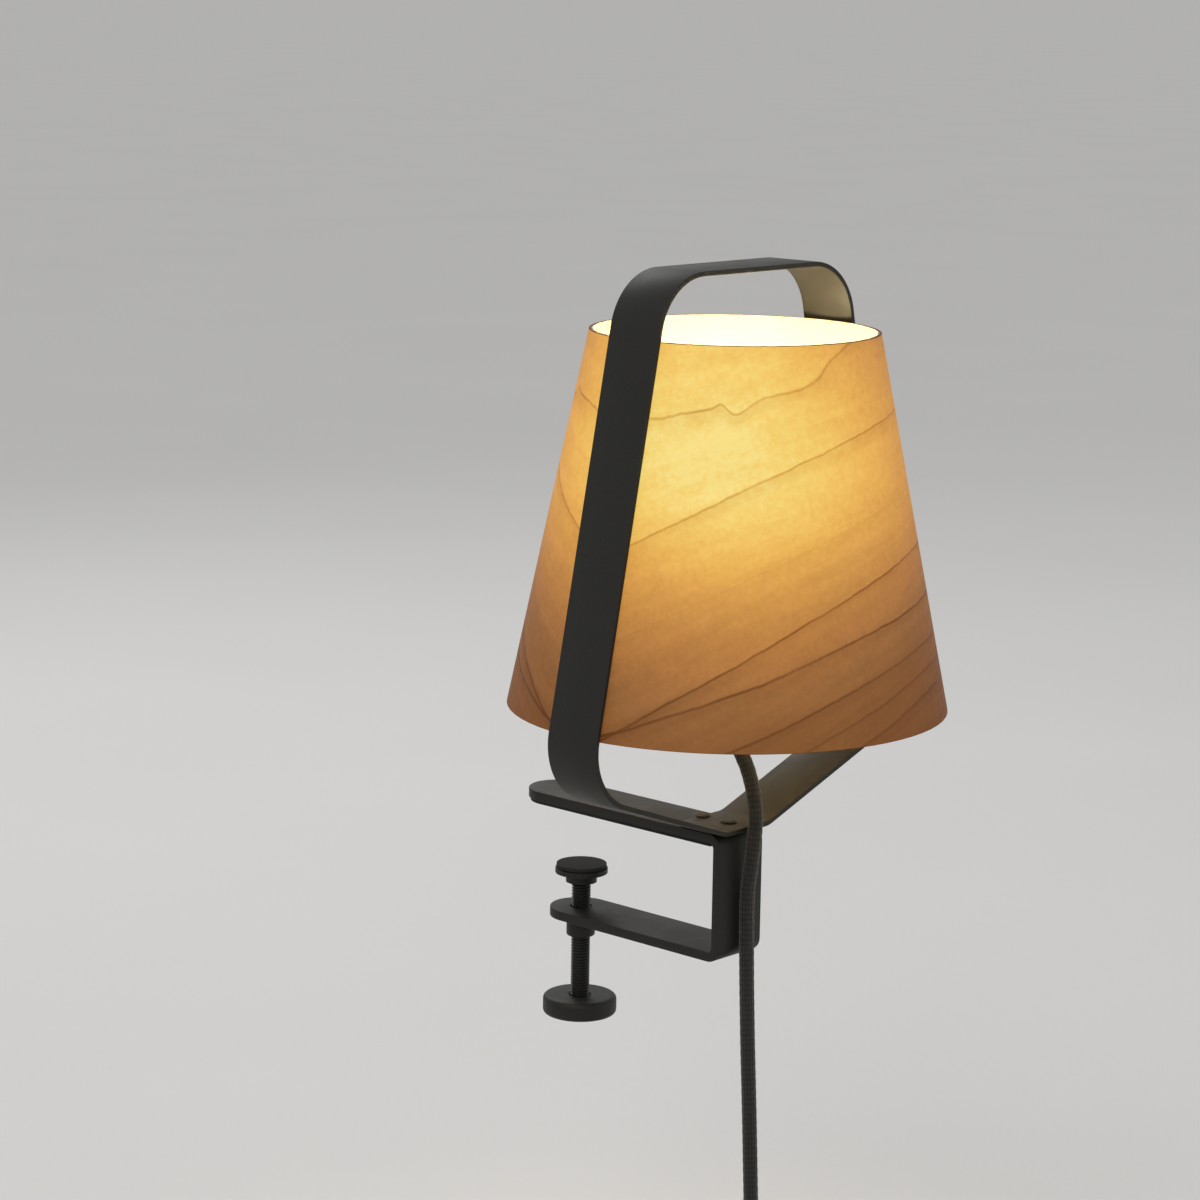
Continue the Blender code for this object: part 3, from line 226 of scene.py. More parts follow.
def finer(path, length):
    """The path with extra points along its straight runs."""
    made = [path[0]]
    for (p, n), (q, m) in zip(path, path[1:]):
        pieces = max(1, math.ceil((q - p).length / length))
        for k in range(1, pieces + 1):
            made.append((p.lerp(q, k / pieces), n.lerp(m, k / pieces).normalized()))
    return made


def capped_tube(name, rings, closed=False, angle=35):
    """Skin a list of equal rings of points, and close the ends with flat faces."""
    columns = len(rings[0])
    verts = [p for ring in rings for p in ring]
    faces = grid_faces(len(rings), columns, closed_rows=closed)
    if not closed:
        faces.append(tuple(range(columns - 1, -1, -1)))
        faces.append(tuple(range(len(verts) - columns, len(verts))))
    return outward(new_object(name, verts, faces, angle))


def settle(obj, angle):
    """Turn an object's modifier into plain mesh."""
    bpy.context.view_layer.update()
    graph = bpy.context.evaluated_depsgraph_get()
    mesh = bpy.data.meshes.new_from_object(obj.evaluated_get(graph))
    obj.modifiers.clear()
    obj.data = mesh
    soften(obj, angle)
    return obj


def cut(obj, cutter):
    """Take the cutter's shape out of a mesh for good."""
    modifier = obj.modifiers.new("cut", "BOOLEAN")
    modifier.object = cutter
    modifier.solver = "EXACT"
    settle(obj, 35)
    bpy.data.objects.remove(cutter, do_unlink=True)
    return obj


def rounded_copy(node, name, width, segments=3, angle=40):
    """A copy of a CAD node's shape, with its edges rounded."""
    mesh = NODES[node].data.copy()
    mesh.name = name
    bm = bmesh.new()
    bm.from_mesh(mesh)
    bmesh.ops.remove_doubles(bm, verts=bm.verts, dist=0.000002)
    bmesh.ops.dissolve_limit(bm, angle_limit=math.radians(1), verts=bm.verts, edges=bm.edges)
    bm.to_mesh(mesh)
    bm.free()
    obj = bpy.data.objects.new(name, mesh)
    bpy.context.scene.collection.objects.link(obj)
    # The bevel rounds only edges sharper than the given angle.
    bevel = obj.modifiers.new("edges", "BEVEL")
    bevel.width = width
    bevel.segments = segments
    bevel.limit_method = "ANGLE"
    bevel.angle_limit = math.radians(angle)
    return settle(obj, 50)


# ---------------------------------------------------------------- node helpers
class Shader:
    """A material's node tree, built one small step at a time."""

    def __init__(self, name):
        self.material = bpy.data.materials.new(name)
        self.material.use_nodes = True
        self.tree = self.material.node_tree
        self.main = self.tree.nodes["Principled BSDF"]

    def node(self, kind, **settings):
        made = self.tree.nodes.new(kind)
        for key, value in settings.items():
            setattr(made, key, value)
        return made

    def link(self, value, socket):
        """Set a socket from a number, a colour or another node's output."""
        if isinstance(value, bpy.types.NodeSocket):
            self.tree.links.new(value, socket)
        else:
            socket.default_value = value

    def math(self, operation, a, b=0.0, clamp=False):
        made = self.node("ShaderNodeMath", operation=operation, use_clamp=clamp)
        self.link(a, made.inputs[0])
        self.link(b, made.inputs[1])
        return made.outputs[0]

    def plus(self, a, b):
        return self.math("ADD", a, b)

    def minus(self, a, b):
        return self.math("SUBTRACT", a, b)

    def times(self, a, b):
        return self.math("MULTIPLY", a, b)

    def over(self, a, b):
        return self.math("DIVIDE", a, b)

    def scaled(self, value, low, high, to_low=0.0, to_high=1.0, smooth=True):
        """A value's range from low to high mapped to another range, and held at its ends."""
        made = self.node("ShaderNodeMapRange")
        made.interpolation_type = "SMOOTHSTEP" if smooth else "LINEAR"
        for socket, number in zip(made.inputs[:5], (value, low, high, to_low, to_high)):
            self.link(number, socket)
        return made.outputs[0]

    def mix(self, share, a, b, blend="MIX"):
        made = self.node("ShaderNodeMix", data_type="RGBA", blend_type=blend)
        self.link(share, made.inputs[0])
        self.link(a, made.inputs[6])
        self.link(b, made.inputs[7])
        return made.outputs[2]

    def ramp(self, value, stops):
        """A colour looked up in a list of (position, red-green-blue) stops."""
        made = self.node("ShaderNodeValToRGB")
        self.link(value, made.inputs[0])
        elements = made.color_ramp.elements
        while len(elements) < len(stops):
            elements.new(0.5)
        for element, (position, colour) in zip(elements, stops):
            element.position = position
            element.color = (*colour, 1)
        return made.outputs[0]

    def place(self):
        return self.node("ShaderNodeTexCoord").outputs["Object"]

    def split(self, vector):
        made = self.node("ShaderNodeSeparateXYZ")
        self.link(vector, made.inputs[0])
        return made.outputs

    def stretched(self, vector, factors):
        """A vector with each part multiplied by its own factor."""
        return self.join(*(self.times(part, k) for part, k in zip(self.split(vector), factors)))

    def join(self, x, y, z):
        made = self.node("ShaderNodeCombineXYZ")
        for value, socket in zip((x, y, z), made.inputs):
            self.link(value, socket)
        return made.outputs[0]

    def noise(self, vector, scale, detail=3.0, roughness=0.5):
        made = self.node("ShaderNodeTexNoise")
        self.link(vector, made.inputs["Vector"])
        made.inputs["Scale"].default_value = scale
        made.inputs["Detail"].default_value = detail
        made.inputs["Roughness"].default_value = roughness
        return made.outputs["Fac"]

    def bump(self, height, distance, strength):
        made = self.node("ShaderNodeBump")
        self.link(height, made.inputs["Height"])
        made.inputs["Distance"].default_value = distance
        made.inputs["Strength"].default_value = strength
        return made.outputs[0]

    def set(self, **sockets):
        names = {
            "colour": "Base Color",
            "roughness": "Roughness",
            "metallic": "Metallic",
            "normal": "Normal",
            "specular": "Specular IOR Level",
            "sheen": "Sheen Weight",
            "sheen_roughness": "Sheen Roughness",
            "coat": "Coat Weight",
            "glow": "Emission Color",
            "glow_strength": "Emission Strength",
        }
        for key, value in sockets.items():
            self.link(value, self.main.inputs[names[key]])
        return self.material


def rgb(red, green, blue):
    """A shader colour from the 0 to 255 numbers of a screen colour."""
    linear = (((c / 255 + 0.055) / 1.055) ** 2.4 if c > 10 else c / 3295 for c in (red, green, blue))
    return (*linear, 1.0)


# ---------------------------------------------------------------- materials
def powder_coat(name, colour=(30, 29, 25), seed=0.0):
    """Matt charcoal powder coat with a fine orange peel."""
    s = Shader(name)
    where = s.place()
    grain = s.noise(where, 2600, 2, 0.55)
    waves = s.noise(where, 700, 1, 0.5)
    patch = s.noise(where, 35 + seed, 3, 0.6)
    dark = rgb(*(c - 4 for c in colour))
    light = rgb(*(c + 5 for c in colour))
    tone = s.mix(patch, dark, light)
    # The raised grains of the peel are painted a little lighter: a painted highlight on them.
    tone = s.mix(s.scaled(grain, 0.35, 0.75), tone, rgb(*(c + 9 for c in colour)))
    height = s.plus(s.times(grain, 0.6), waves)
    return s.set(
        colour=tone,
        roughness=s.scaled(patch, 0.3, 0.7, 0.46, 0.56),
        normal=s.bump(height, 0.00004, 0.55),
        specular=0.24,
    )


def black_oxide(name):
    """Blackened steel, with wear lines round the screw."""
    s = Shader(name)
    where = s.place()
    patch = s.noise(where, 160, 4, 0.6)
    scratch = s.noise(s.stretched(where, (1, 1, 9)), 900, 2)
    return s.set(
        colour=s.mix(patch, rgb(26, 26, 25), rgb(48, 46, 43)),
        metallic=0.55,
        roughness=s.scaled(scratch, 0.3, 0.7, 0.34, 0.5),
        normal=s.bump(scratch, 0.00003, 0.4),
    )


def plated(name, colour, rough=(0.22, 0.38), stretch=(1, 1, 6)):
    """Plated or turned metal with fine lines."""
    s = Shader(name)
    where = s.place()
    lines = s.noise(s.stretched(where, stretch), 1400, 2, 0.6)
    haze = s.noise(where, 120, 3, 0.6)
    darker = rgb(*(c * 0.86 for c in colour))
    return s.set(
        colour=s.mix(haze, darker, rgb(*colour)),
        metallic=1.0,
        roughness=s.scaled(lines, 0.3, 0.7, *rough),
        normal=s.bump(lines, 0.00002, 0.35),
    )


def moulded(name, colour, rough, texture):
    """Moulded plastic or glazed ceramic with a fine spark texture."""
    s = Shader(name)
    where = s.place()
    spark = s.noise(where, 3200, 2, 0.6)
    haze = s.noise(where, 60, 3, 0.55)
    darker = rgb(*(c * 0.85 for c in colour))
    lighter = rgb(*(min(255, c * 1.15 + 2) for c in colour))
    return s.set(
        colour=s.mix(haze, darker, lighter),
        roughness=s.scaled(haze, 0.3, 0.7, rough - 0.05, rough + 0.06),
        normal=s.bump(spark, 0.00004, texture),
        specular=0.5,
    )


def rubber(name):
    s = Shader(name)
    where = s.place()
    ribs = s.noise(where, 1800, 2, 0.6)
    return s.set(
        colour=s.mix(s.noise(where, 90, 3), rgb(22, 22, 22), rgb(36, 35, 34)),
        roughness=0.82,
        normal=s.bump(ribs, 0.00006, 0.6),
        specular=0.3,
    )


def textile(name, strands=8):
    """A woven cord sleeve: strands that cross in both directions, from the tube's own UV map."""
    s = Shader(name)
    uv = s.split(s.node("ShaderNodeTexCoord").outputs["UV"])
    along = s.times(uv[0], math.tau / BRAID_PITCH)
    around = s.times(uv[1], math.tau * strands)
    one = s.math("SINE", s.plus(along, around))
    two = s.math("SINE", s.minus(along, around))
    weave = s.scaled(s.times(one, two), -1, 1)
    fibre = s.noise(s.join(uv[0], s.times(uv[1], 0.02), 0.0), 2400, 3, 0.65)
    # The strands and stray fibres are painted lighter where the weave stands high and darker in its gaps:
    # painted highlight and painted shade between the strands.
    tone = s.mix(weave, rgb(14, 14, 14), rgb(38, 37, 35))
    tone = s.mix(s.scaled(fibre, 0.5, 0.8), tone, rgb(58, 56, 52))
    height = s.plus(weave, s.times(fibre, 0.5))
    return s.set(
        colour=tone,
        roughness=0.78,
        sheen=0.25,
        sheen_roughness=0.45,
        specular=0.3,
        normal=s.bump(height, 0.00022, 0.9),
    )


def growth_level(s, turn, height, sway):
    """Which growth ring a place on the shade belongs to, in millimetres up the left leg."""
    slow = s.noise(s.join(s.times(turn, 0.9), s.times(height, 0.011), 3.0), 1.6, 3, 0.55)
    level = s.minus(height, s.times(sway, 85.0))
    level = s.over(level, s.minus(1.0, s.times(sway, 0.33)))
    level = s.plus(level, s.times(s.minus(slow, 0.5), 5.0))
    # A small knot bends the upper line up and then down, and near the rim that line turns up.
    knot = s.times(s.minus(turn, 0.66), 70.0)
    for middle, width, lift in ((-2.2, 3.0, -2.6), (5.0, 6.0, 4.6)):
        offset = s.over(s.minus(knot, middle), width)
        rise = s.math("EXPONENT", s.times(s.times(offset, offset), -1.0))
        near = s.scaled(s.math("ABSOLUTE", s.minus(height, 183.0)), 6.0, 22.0, lift, 0.0)
        level = s.plus(level, s.times(rise, near))
    upturn = s.times(s.scaled(turn, 1.05, 1.65, 0.0, -17.0), s.scaled(height, 185.0, 199.0))
    return s.plus(level, upturn)


# The dark growth lines: level at the left leg and drift away from it, width (all in mm) and depth.
GROWTH_LINES = (
    (174, -9, 0.75, 0.62),
    (122, 14, 0.70, 0.60),
    (50, 8, 0.75, 0.80),
    (55, -26, 0.85, 0.85),
    (28, -22, 0.85, 0.60),
    (6, -14, 0.80, 0.45),
    (-14, -6, 0.90, 0.45),
    (88, 3, 0.50, 0.14),
)


def growth_lines(s, turn, level, sway):
    """How dark the growth lines make each place, from 0 to 1."""
    jitter = s.noise(s.join(s.times(turn, 14.0), s.times(level, 0.02), 0.0), 1.0, 4, 0.6)
    fine = s.plus(level, s.times(s.minus(jitter, 0.5), 1.5))
    lines = 0.0
    for middle, drift, width, depth in GROWTH_LINES:
        at = s.minus(fine, s.plus(s.times(sway, drift), middle))
        sharp = s.scaled(s.math("ABSOLUTE", at), 0.15, width * 1.5, depth, 0.0)
        # Darker late wood builds up below each line and stops at it.
        soft = s.times(s.scaled(at, -9.0, 0.0, 0.0, depth * 0.30), s.scaled(at, 0.0, 0.8, 1.0, 0.0))
        lines = s.math("MAXIMUM", lines, s.math("MAXIMUM", sharp, soft))
    fade = s.noise(s.join(s.times(turn, 2.2), s.times(level, 0.03), 7.0), 1.3, 2)
    return s.times(lines, s.scaled(fade, 0.25, 0.7, 0.65, 1.1))


def light_through(s, height, angle, textures):
    """Painted light through the wood, for the veneer's glow: strongest a little above the bulb, and weaker
    towards both rims.
    """
    away = s.minus(height, 166.0)
    above = s.math("POWER", s.over(s.math("MAXIMUM", away, 0.0), 62.0), 1.5)
    below = s.math("POWER", s.over(s.math("MAXIMUM", s.times(away, -1.0), 0.0), 46.5), 2.65)
    spread = s.plus(s.times(above, 0.6), below)
    # Painted light: the glow is painted brightest at two opposite turns of the shade and weaker a quarter
    # turn from them, a painted falloff towards the shade's sides.
    brightest_at = 3.717 - math.tau
    swing = s.math("PINGPONG", s.minus(angle, brightest_at), math.pi / 2)
    painted_side_shade = s.times(s.math("POWER", s.over(swing, 1.1), 2.2), 0.9)
    light = s.over(s.over(1.0, s.plus(1.0, spread)), s.plus(1.0, painted_side_shade))
    for texture, reach, change in textures:
        factor = s.scaled(texture, 0.5 - reach, 0.5 + reach, 1 - change, 1 + change, False)
        light = s.times(light, factor)
    return light


# The painted glow of the lit wood, in linear light, from no light through it to the most.
GLOW_STOPS = (
    (0.00, (0.000, 0.000, 0.000)),
    (0.04, (0.088, 0.028, 0.004)),
    (0.13, (0.210, 0.090, 0.024)),
    (0.20, (0.340, 0.143, 0.034)),
    (0.35, (0.520, 0.247, 0.050)),
    (0.49, (0.660, 0.340, 0.066)),
    (0.60, (0.740, 0.420, 0.082)),
    (0.74, (0.800, 0.520, 0.112)),
    (0.87, (0.830, 0.606, 0.152)),
    (1.00, (0.850, 0.700, 0.225)),
)


def veneer():
    """Thin flat-sawn veneer wrapped round the shade; the bulb's light through it from behind is painted in
    as its glow.
    """
    s = Shader("veneer_lit")
    where = s.place()
    x, y, z = s.split(where)
    across = s.minus(y, HEAD_Y)
    turn = s.math("ABSOLUTE", s.math("ARCTAN2", across, s.times(x, -1.0)))
    height = s.times(z, 1000.0)
    # The growth lines climb away from the left leg: sway is 0 there and 0.9 a quarter turn further.
    sway = s.math("SINE", s.times(turn, 0.72))
    level = growth_level(s, turn, height, sway)
    lines = growth_lines(s, turn, level, sway)

    fibre = s.noise(s.join(s.times(turn, 3.2), s.times(level, 0.55), 0.0), 2.2, 5, 0.62)
    streak = s.noise(s.join(s.times(turn, 1.1), s.times(level, 0.11), 1.0), 1.4, 3, 0.5)
    fleck = s.noise(where, 420, 3, 0.65)
    mottle = s.noise(s.join(s.times(turn, 5.5), s.times(height, 0.10), 2.0), 1.3, 3, 0.6)
    textures = ((mottle, 0.30, 0.070), (streak, 0.25, 0.055), (fibre, 0.25, 0.060), (fleck, 0.20, 0.085))
    light = light_through(s, height, s.math("ARCTAN2", across, x), textures)
    light = s.times(light, s.minus(1.0, s.times(lines, 0.22)))

    # The light through the wood is painted into the veneer as emission colour, dimmer and redder along the
    # growth lines.
    lit = s.ramp(light, GLOW_STOPS)
    line_glow = s.mix(1.0, lit, (0.60, 0.44, 0.28, 1), "MULTIPLY")
    glow = s.mix(s.math("MULTIPLY", lines, 0.95, clamp=True), lit, line_glow)
    wood = s.mix(s.scaled(streak, 0.25, 0.75), rgb(86, 54, 32), rgb(100, 64, 39))
    wood = s.mix(s.times(s.scaled(fibre, 0.35, 0.8), 0.35), wood, rgb(74, 45, 25))
    wood = s.mix(lines, wood, rgb(48, 28, 15))
    # The cut edges at the rims are darker and let hardly any light through.
    rim = s.math("MAXIMUM", s.scaled(height, 204.75, 204.95), s.scaled(height, 56.25, 56.05))
    pores = s.plus(s.times(fibre, 0.7), s.times(lines, -0.5))
    return s.set(
        colour=s.mix(rim, wood, rgb(74, 42, 22)),
        roughness=s.scaled(fibre, 0.3, 0.7, 0.48, 0.6),
        specular=0.12,
        normal=s.bump(pores, 0.00008, 0.5),
        glow=s.mix(rim, glow, rgb(60, 30, 12)),
        glow_strength=GLOW,
    )


def liner():
    """The pale backing inside the veneer."""
    s = Shader("liner_white")
    where = s.place()
    weave = s.noise(where, 900, 2, 0.5)
    haze = s.noise(where, 30, 3, 0.5)
    return s.set(
        colour=s.mix(haze, rgb(164, 155, 130), rgb(170, 162, 138)),
        roughness=0.62,
        normal=s.bump(weave, 0.00004, 0.3),
    )


def opal_glass():
    s = Shader("bulb_opal")
    where = s.place()
    z = s.split(where)[2]
    cloud = s.noise(where, 40, 2, 0.5)
    glow = s.mix(s.scaled(z, BULB_Z - 0.02, BULB_Z + 0.012), rgb(255, 214, 150), rgb(255, 232, 186))
    return s.set(
        colour=s.mix(cloud, rgb(246, 242, 232), rgb(252, 250, 244)),
        roughness=0.3,
        glow=glow,
        glow_strength=BULB_LIGHT,
        coat=0.4,
    )


def floor_material():
    s = Shader("floor_pale")
    where = s.place()
    cloud = s.noise(where, 3, 3, 0.5)
    return s.set(colour=s.mix(cloud, rgb(222, 221, 219), rgb(227, 226, 224)), roughness=0.75, specular=0.2)


# ---------------------------------------------------------------- cords
def smooth_route(points, spacing):
    """Evenly spaced points along a centripetal Catmull-Rom curve through the given ones."""
    line = [Vector(p) for p in points]
    line = [line[0] * 2 - line[1]] + line + [line[-1] * 2 - line[-2]]
    fine = []
    for a, b, c, d in zip(line, line[1:], line[2:], line[3:]):
        knots = [0.0]
        for p, q in ((a, b), (b, c), (c, d)):
            knots.append(knots[-1] + math.sqrt((q - p).length))
        for k in range(24):
            t = knots[1] + (knots[2] - knots[1]) * k / 24
            fine.append(catmull_point((a, b, c, d), knots, t))
    fine.append(line[-2])
    lengths = [0.0]
    for p, q in zip(fine, fine[1:]):
        lengths.append(lengths[-1] + (q - p).length)
    count = max(2, round(lengths[-1] / spacing))
    even, at = [], 0
    for k in range(count + 1):
        want = lengths[-1] * k / count
        while at < len(fine) - 2 and lengths[at + 1] < want:
            at += 1
        share = (want - lengths[at]) / (lengths[at + 1] - lengths[at])
        even.append(fine[at].lerp(fine[at + 1], min(1.0, share)))
    return even


def catmull_point(corners, knots, t):
    """One point of the curve between the two middle corners, by repeated blending."""
    level = list(corners)
    for width in (1, 2, 3):
        lower = []
        for i in range(len(level) - 1):
            start, end = (knots[1], knots[2]) if width == 3 else (knots[i], knots[i + width])
            lower.append(level[i].lerp(level[i + 1], (t - start) / (end - start)))
        level = lower
    return level[0]


def cord_mesh(name, line, sides, relief=0.00006):
    """A tube along a line, with a UV map of metres along and turns round, and closed ends."""
    count = len(line)
    tangents = [(line[min(k + 1, count - 1)] - line[max(k - 1, 0)]).normalized() for k in range(count)]
    side = tangents[0].orthogonal().normalized()
    verts, along = [], [0.0]
    for k, (point, tangent) in enumerate(zip(line, tangents)):
        if k:
            along.append(along[-1] + (point - line[k - 1]).length)
        side = (side - tangent * side.dot(tangent)).normalized()
        other = tangent.cross(side)
        for j in range(sides):
            turn = math.tau * j / sides
            bulge = CORD_RADIUS + relief * math.cos(turn * 4) * math.cos(along[-1] * math.tau / BRAID_PITCH)
            verts.append(point + (side * math.cos(turn) + other * math.sin(turn)) * bulge)
    faces, uvs = [], []
    for i in range(count - 1):
        for j in range(sides):
            n = (j + 1) % sides
            faces.append((i * sides + j, i * sides + n, (i + 1) * sides + n, (i + 1) * sides + j))
            for row, column in ((i, j), (i, j + 1), (i + 1, j + 1), (i + 1, j)):
                uvs.append((along[row], column / sides))
    for ring, row in ((range(sides - 1, -1, -1), 0), (range(sides), count - 1)):
        faces.append(tuple(row * sides + j for j in ring))
        uvs.extend((along[row], j / sides) for j in ring)
    return new_object(name, verts, faces, 60, uvs)


def lamp_cord_line():
    """Down from the grip, over the band's edge and down behind the clamp to the switch."""
    edge_y = HEAD_Y - BAND_WIDTH / 2 - CORD_RADIUS - 2 * CORD_GAP
    edge_z = 0.0076
    over, drop = edge_y - HEAD_Y, GRIP_TIP - edge_z
    route = [
        (0, HEAD_Y, GRIP_TIP - 3 * CORD_GAP),
        (0, HEAD_Y + 0.004 * over, GRIP_TIP - 0.05 * drop),
        (0.0001, HEAD_Y + 0.035 * over, GRIP_TIP - 0.115 * drop),
        (0.0004, HEAD_Y + 0.13 * over, GRIP_TIP - 0.19 * drop),
        (0.0008, HEAD_Y + 0.29 * over, GRIP_TIP - 0.28 * drop),
        (0.0011, HEAD_Y + 0.47 * over, GRIP_TIP - 0.38 * drop),
        (0.0012, HEAD_Y + 0.64 * over, GRIP_TIP - 0.48 * drop),
        (0.0011, HEAD_Y + 0.79 * over, GRIP_TIP - 0.60 * drop),
        (0.0009, HEAD_Y + 0.91 * over, GRIP_TIP - 0.73 * drop),
        (0.0006, HEAD_Y + 0.98 * over, GRIP_TIP - 0.86 * drop),
        (0.0003, edge_y, edge_z + 0.0010),
        (0.0001, edge_y + 0.0002, edge_z - 0.0035),
        (0, (edge_y + HANG_Y) / 2 - 0.0003, -0.0070),
        (-0.0002, HANG_Y - 0.0006, -0.0180),
        (0, HANG_Y - 0.0005, -0.040),
        (0.0012, HANG_Y - 0.0009, -0.075),
        (0.0030, HANG_Y - 0.0017, -0.115),
        (0.0045, HANG_Y - 0.0025, -0.155),
        (0.0055, HANG_Y - 0.0037, FLOOR + 0.080),
        (0.0062, LAY_Y + 0.0033, FLOOR + 0.050),
        (0.0085, LAY_Y + 0.0019, FLOOR + 0.0315),
        (0.0157, LAY_Y + 0.0008, FLOOR + 0.0166),
        (0.0255, LAY_Y + 0.0001, FLOOR + 0.0096),
        (0.0357, LAY_Y, SWITCH_CORD_Z),
    ]
    return smooth_route(route, 0.0012)


def coil_points(centre):
    """Four and a half turns: three beside each other below, then back outwards on top of them."""
    levels = [COIL_LOW] * 3 + [COIL_HIGH] * 2
    last = len(levels) - 1
    steps, slide_from = 24, 0.87
    points = []
    for k in range(1, int(4.5 * steps) + 1):
        turns = k / steps
        lap = int(turns)
        # Each turn keeps its radius and level, and slides over to the next one's at its end.
        slide = max(0.0, (turns - lap - slide_from) / (1 - slide_from))
        slide = slide * slide * (3 - 2 * slide)
        after = min(lap + 1, last)
        radius = COIL_RADII[lap] + (COIL_RADII[after] - COIL_RADII[lap]) * slide
        z = levels[lap] + (levels[after] - levels[lap]) * slide
        if lap == 3:
            z += (COIL_OVER - COIL_HIGH) * math.sin(math.pi * slide)
        angle = -math.pi / 2 - math.tau * turns
        points.append((centre[0] + radius * math.cos(angle), centre[1] + radius * math.sin(angle), z))
    return points


def mains_cord_line():
    """From the switch round to the coil, through the coil and on to the plug."""
    rest = FLOOR + CORD_RADIUS
    out = [
        (0.0926, LAY_Y, SWITCH_CORD_Z),
        (0.1010, LAY_Y - 0.0001, FLOOR + 0.0079),
        (0.1105, LAY_Y - 0.0019, FLOOR + 0.0064),
        (0.1195, LAY_Y - 0.0076, FLOOR + 0.0046),
        (0.1254, LAY_Y - 0.0164, FLOOR + 0.0034),
        (0.1274, LAY_Y - 0.0266, rest),
        (0.1249, LAY_Y - 0.0368, rest),
        (0.1182, LAY_Y - 0.0449, rest),
        (0.1085, LAY_Y - 0.0498, rest),
        (0.0980, LAY_Y - 0.0516, rest),
        (0.0600, LAY_Y - 0.0532, rest),
        (0.0300, LAY_Y - 0.0552, rest),
        (0.0000, LAY_Y - 0.0566, FLOOR + 0.0036),
        (-0.0260, LAY_Y - 0.0570, COIL_LOW),
        (-0.0450, LAY_Y - 0.0570, COIL_LOW),
    ]
    back = [
        (-0.0440, LAY_Y + 0.0216, COIL_HIGH),
        (-0.0340, LAY_Y + 0.0217, COIL_HIGH),
        (-0.0247, LAY_Y + 0.0220, COIL_HIGH),
        (-0.0160, LAY_Y + 0.0228, FLOOR + 0.0092),
        (-0.0075, LAY_Y + 0.0256, FLOOR + 0.0084),
        (0.0000, LAY_Y + 0.0289, FLOOR + 0.0075),
        (0.0060, LAY_Y + 0.0307, FLOOR + 0.0070),
        (0.0117, LAY_Y + 0.0310, FLOOR + 0.00685),
    ]
    return smooth_route(out + coil_points((-0.052, LAY_Y - 0.016)) + back, 0.0016)


# ---------------------------------------------------------------- pieces
def band():
    """The flat strip bent to a closed loop, with its edges just broken."""
    lean = math.atan2(SHADE_BOTTOM_RADIUS - SHADE_TOP_RADIUS, SHADE_HIGH - SHADE_LOW)
    inward, rise = math.tan(lean), math.tan(BAND_SLOPE)

    def leg_x(z):
        return SHADE_BOTTOM_RADIUS - (z - SHADE_LOW) * inward + BAND_OFF_SHADE / math.cos(lean)

    # The lower corners are where the sloping runs from the seat meet the leaning legs.
    corner_x = (leg_x(BAND_LOW) + inward * BAND_SEAT * rise) / (1 + inward * rise)
    corner_z = BAND_LOW + (corner_x - BAND_SEAT) * rise
    right = [(BAND_SEAT, BAND_LOW), (corner_x, corner_z), (leg_x(BAND_HIGH), BAND_HIGH)]
    corners = [(-BAND_SEAT, BAND_LOW)] + right + [(-x, z) for x, z in right[:0:-1]]
    path = rounded_path(corners, [BAND_SEAT_BEND] * 2 + [BAND_CORNER_BEND] * 4, closed=True)
    section = bar_section(BAND_WIDTH / 2, BAND_THICKNESS / 2, 0.00035)
    rings = []
    for point, normal in finer(path + path[:1], 0.02)[:-1]:
        rings.append([(point.x + normal.x * o, HEAD_Y + w, point.y + normal.y * o) for w, o in section])
    return capped_tube("band_loop", rings, closed=True, angle=40)


def bracket():
    """The C-shaped flat bar, with half-round ends and broken edges."""
    corners = [(UPPER_ARM_TIP, UPPER_ARM_Z), (BAR_BACK_Y, UPPER_ARM_Z)]
    corners += [(BAR_BACK_Y, LOWER_ARM_Z), (LOWER_ARM_TIP, LOWER_ARM_Z)]
    path = rounded_path(corners, [0, BAR_BEND, BAR_BEND, 0], closed=False, step=math.radians(6))
    path = finer(path, 0.01)
    reach = BAR_WIDTH / 2
    ends = [reach * (1 - math.cos(math.radians(6 * k))) for k in range(16)]
    first, last = path[0], path[-1]
    inner = [(p, n) for p, n in path if (p - first[0]).length > reach and (p - last[0]).length > reach]
    towards = (path[1][0] - first[0]).normalized()
    back = (path[-2][0] - last[0]).normalized()
    whole = [(first[0] + towards * d, first[1], d) for d in ends]
    whole += [(p, n, reach) for p, n in inner]
    whole += [(last[0] + back * d, last[1], d) for d in reversed(ends)]
    rings = []
    for point, normal, d in whole:
        half = max(0.0006, math.sqrt(max(0.0, reach**2 - (reach - d) ** 2)))
        section = bar_section(half, BAR_THICKNESS / 2, 0.0004)
        rings.append([(w, point.x + normal.x * o, point.y + normal.y * o) for w, o in section])
    bar = capped_tube("clamp_bar", rings, angle=40)
    high, low = LOWER_ARM_Z + 0.0055, LOWER_ARM_Z - 0.0065
    drill = [(0, high), (ARM_HOLE_RADIUS, high), (ARM_HOLE_RADIUS, low), (0, low)]
    return cut(bar, turned("hole", drill, 48))


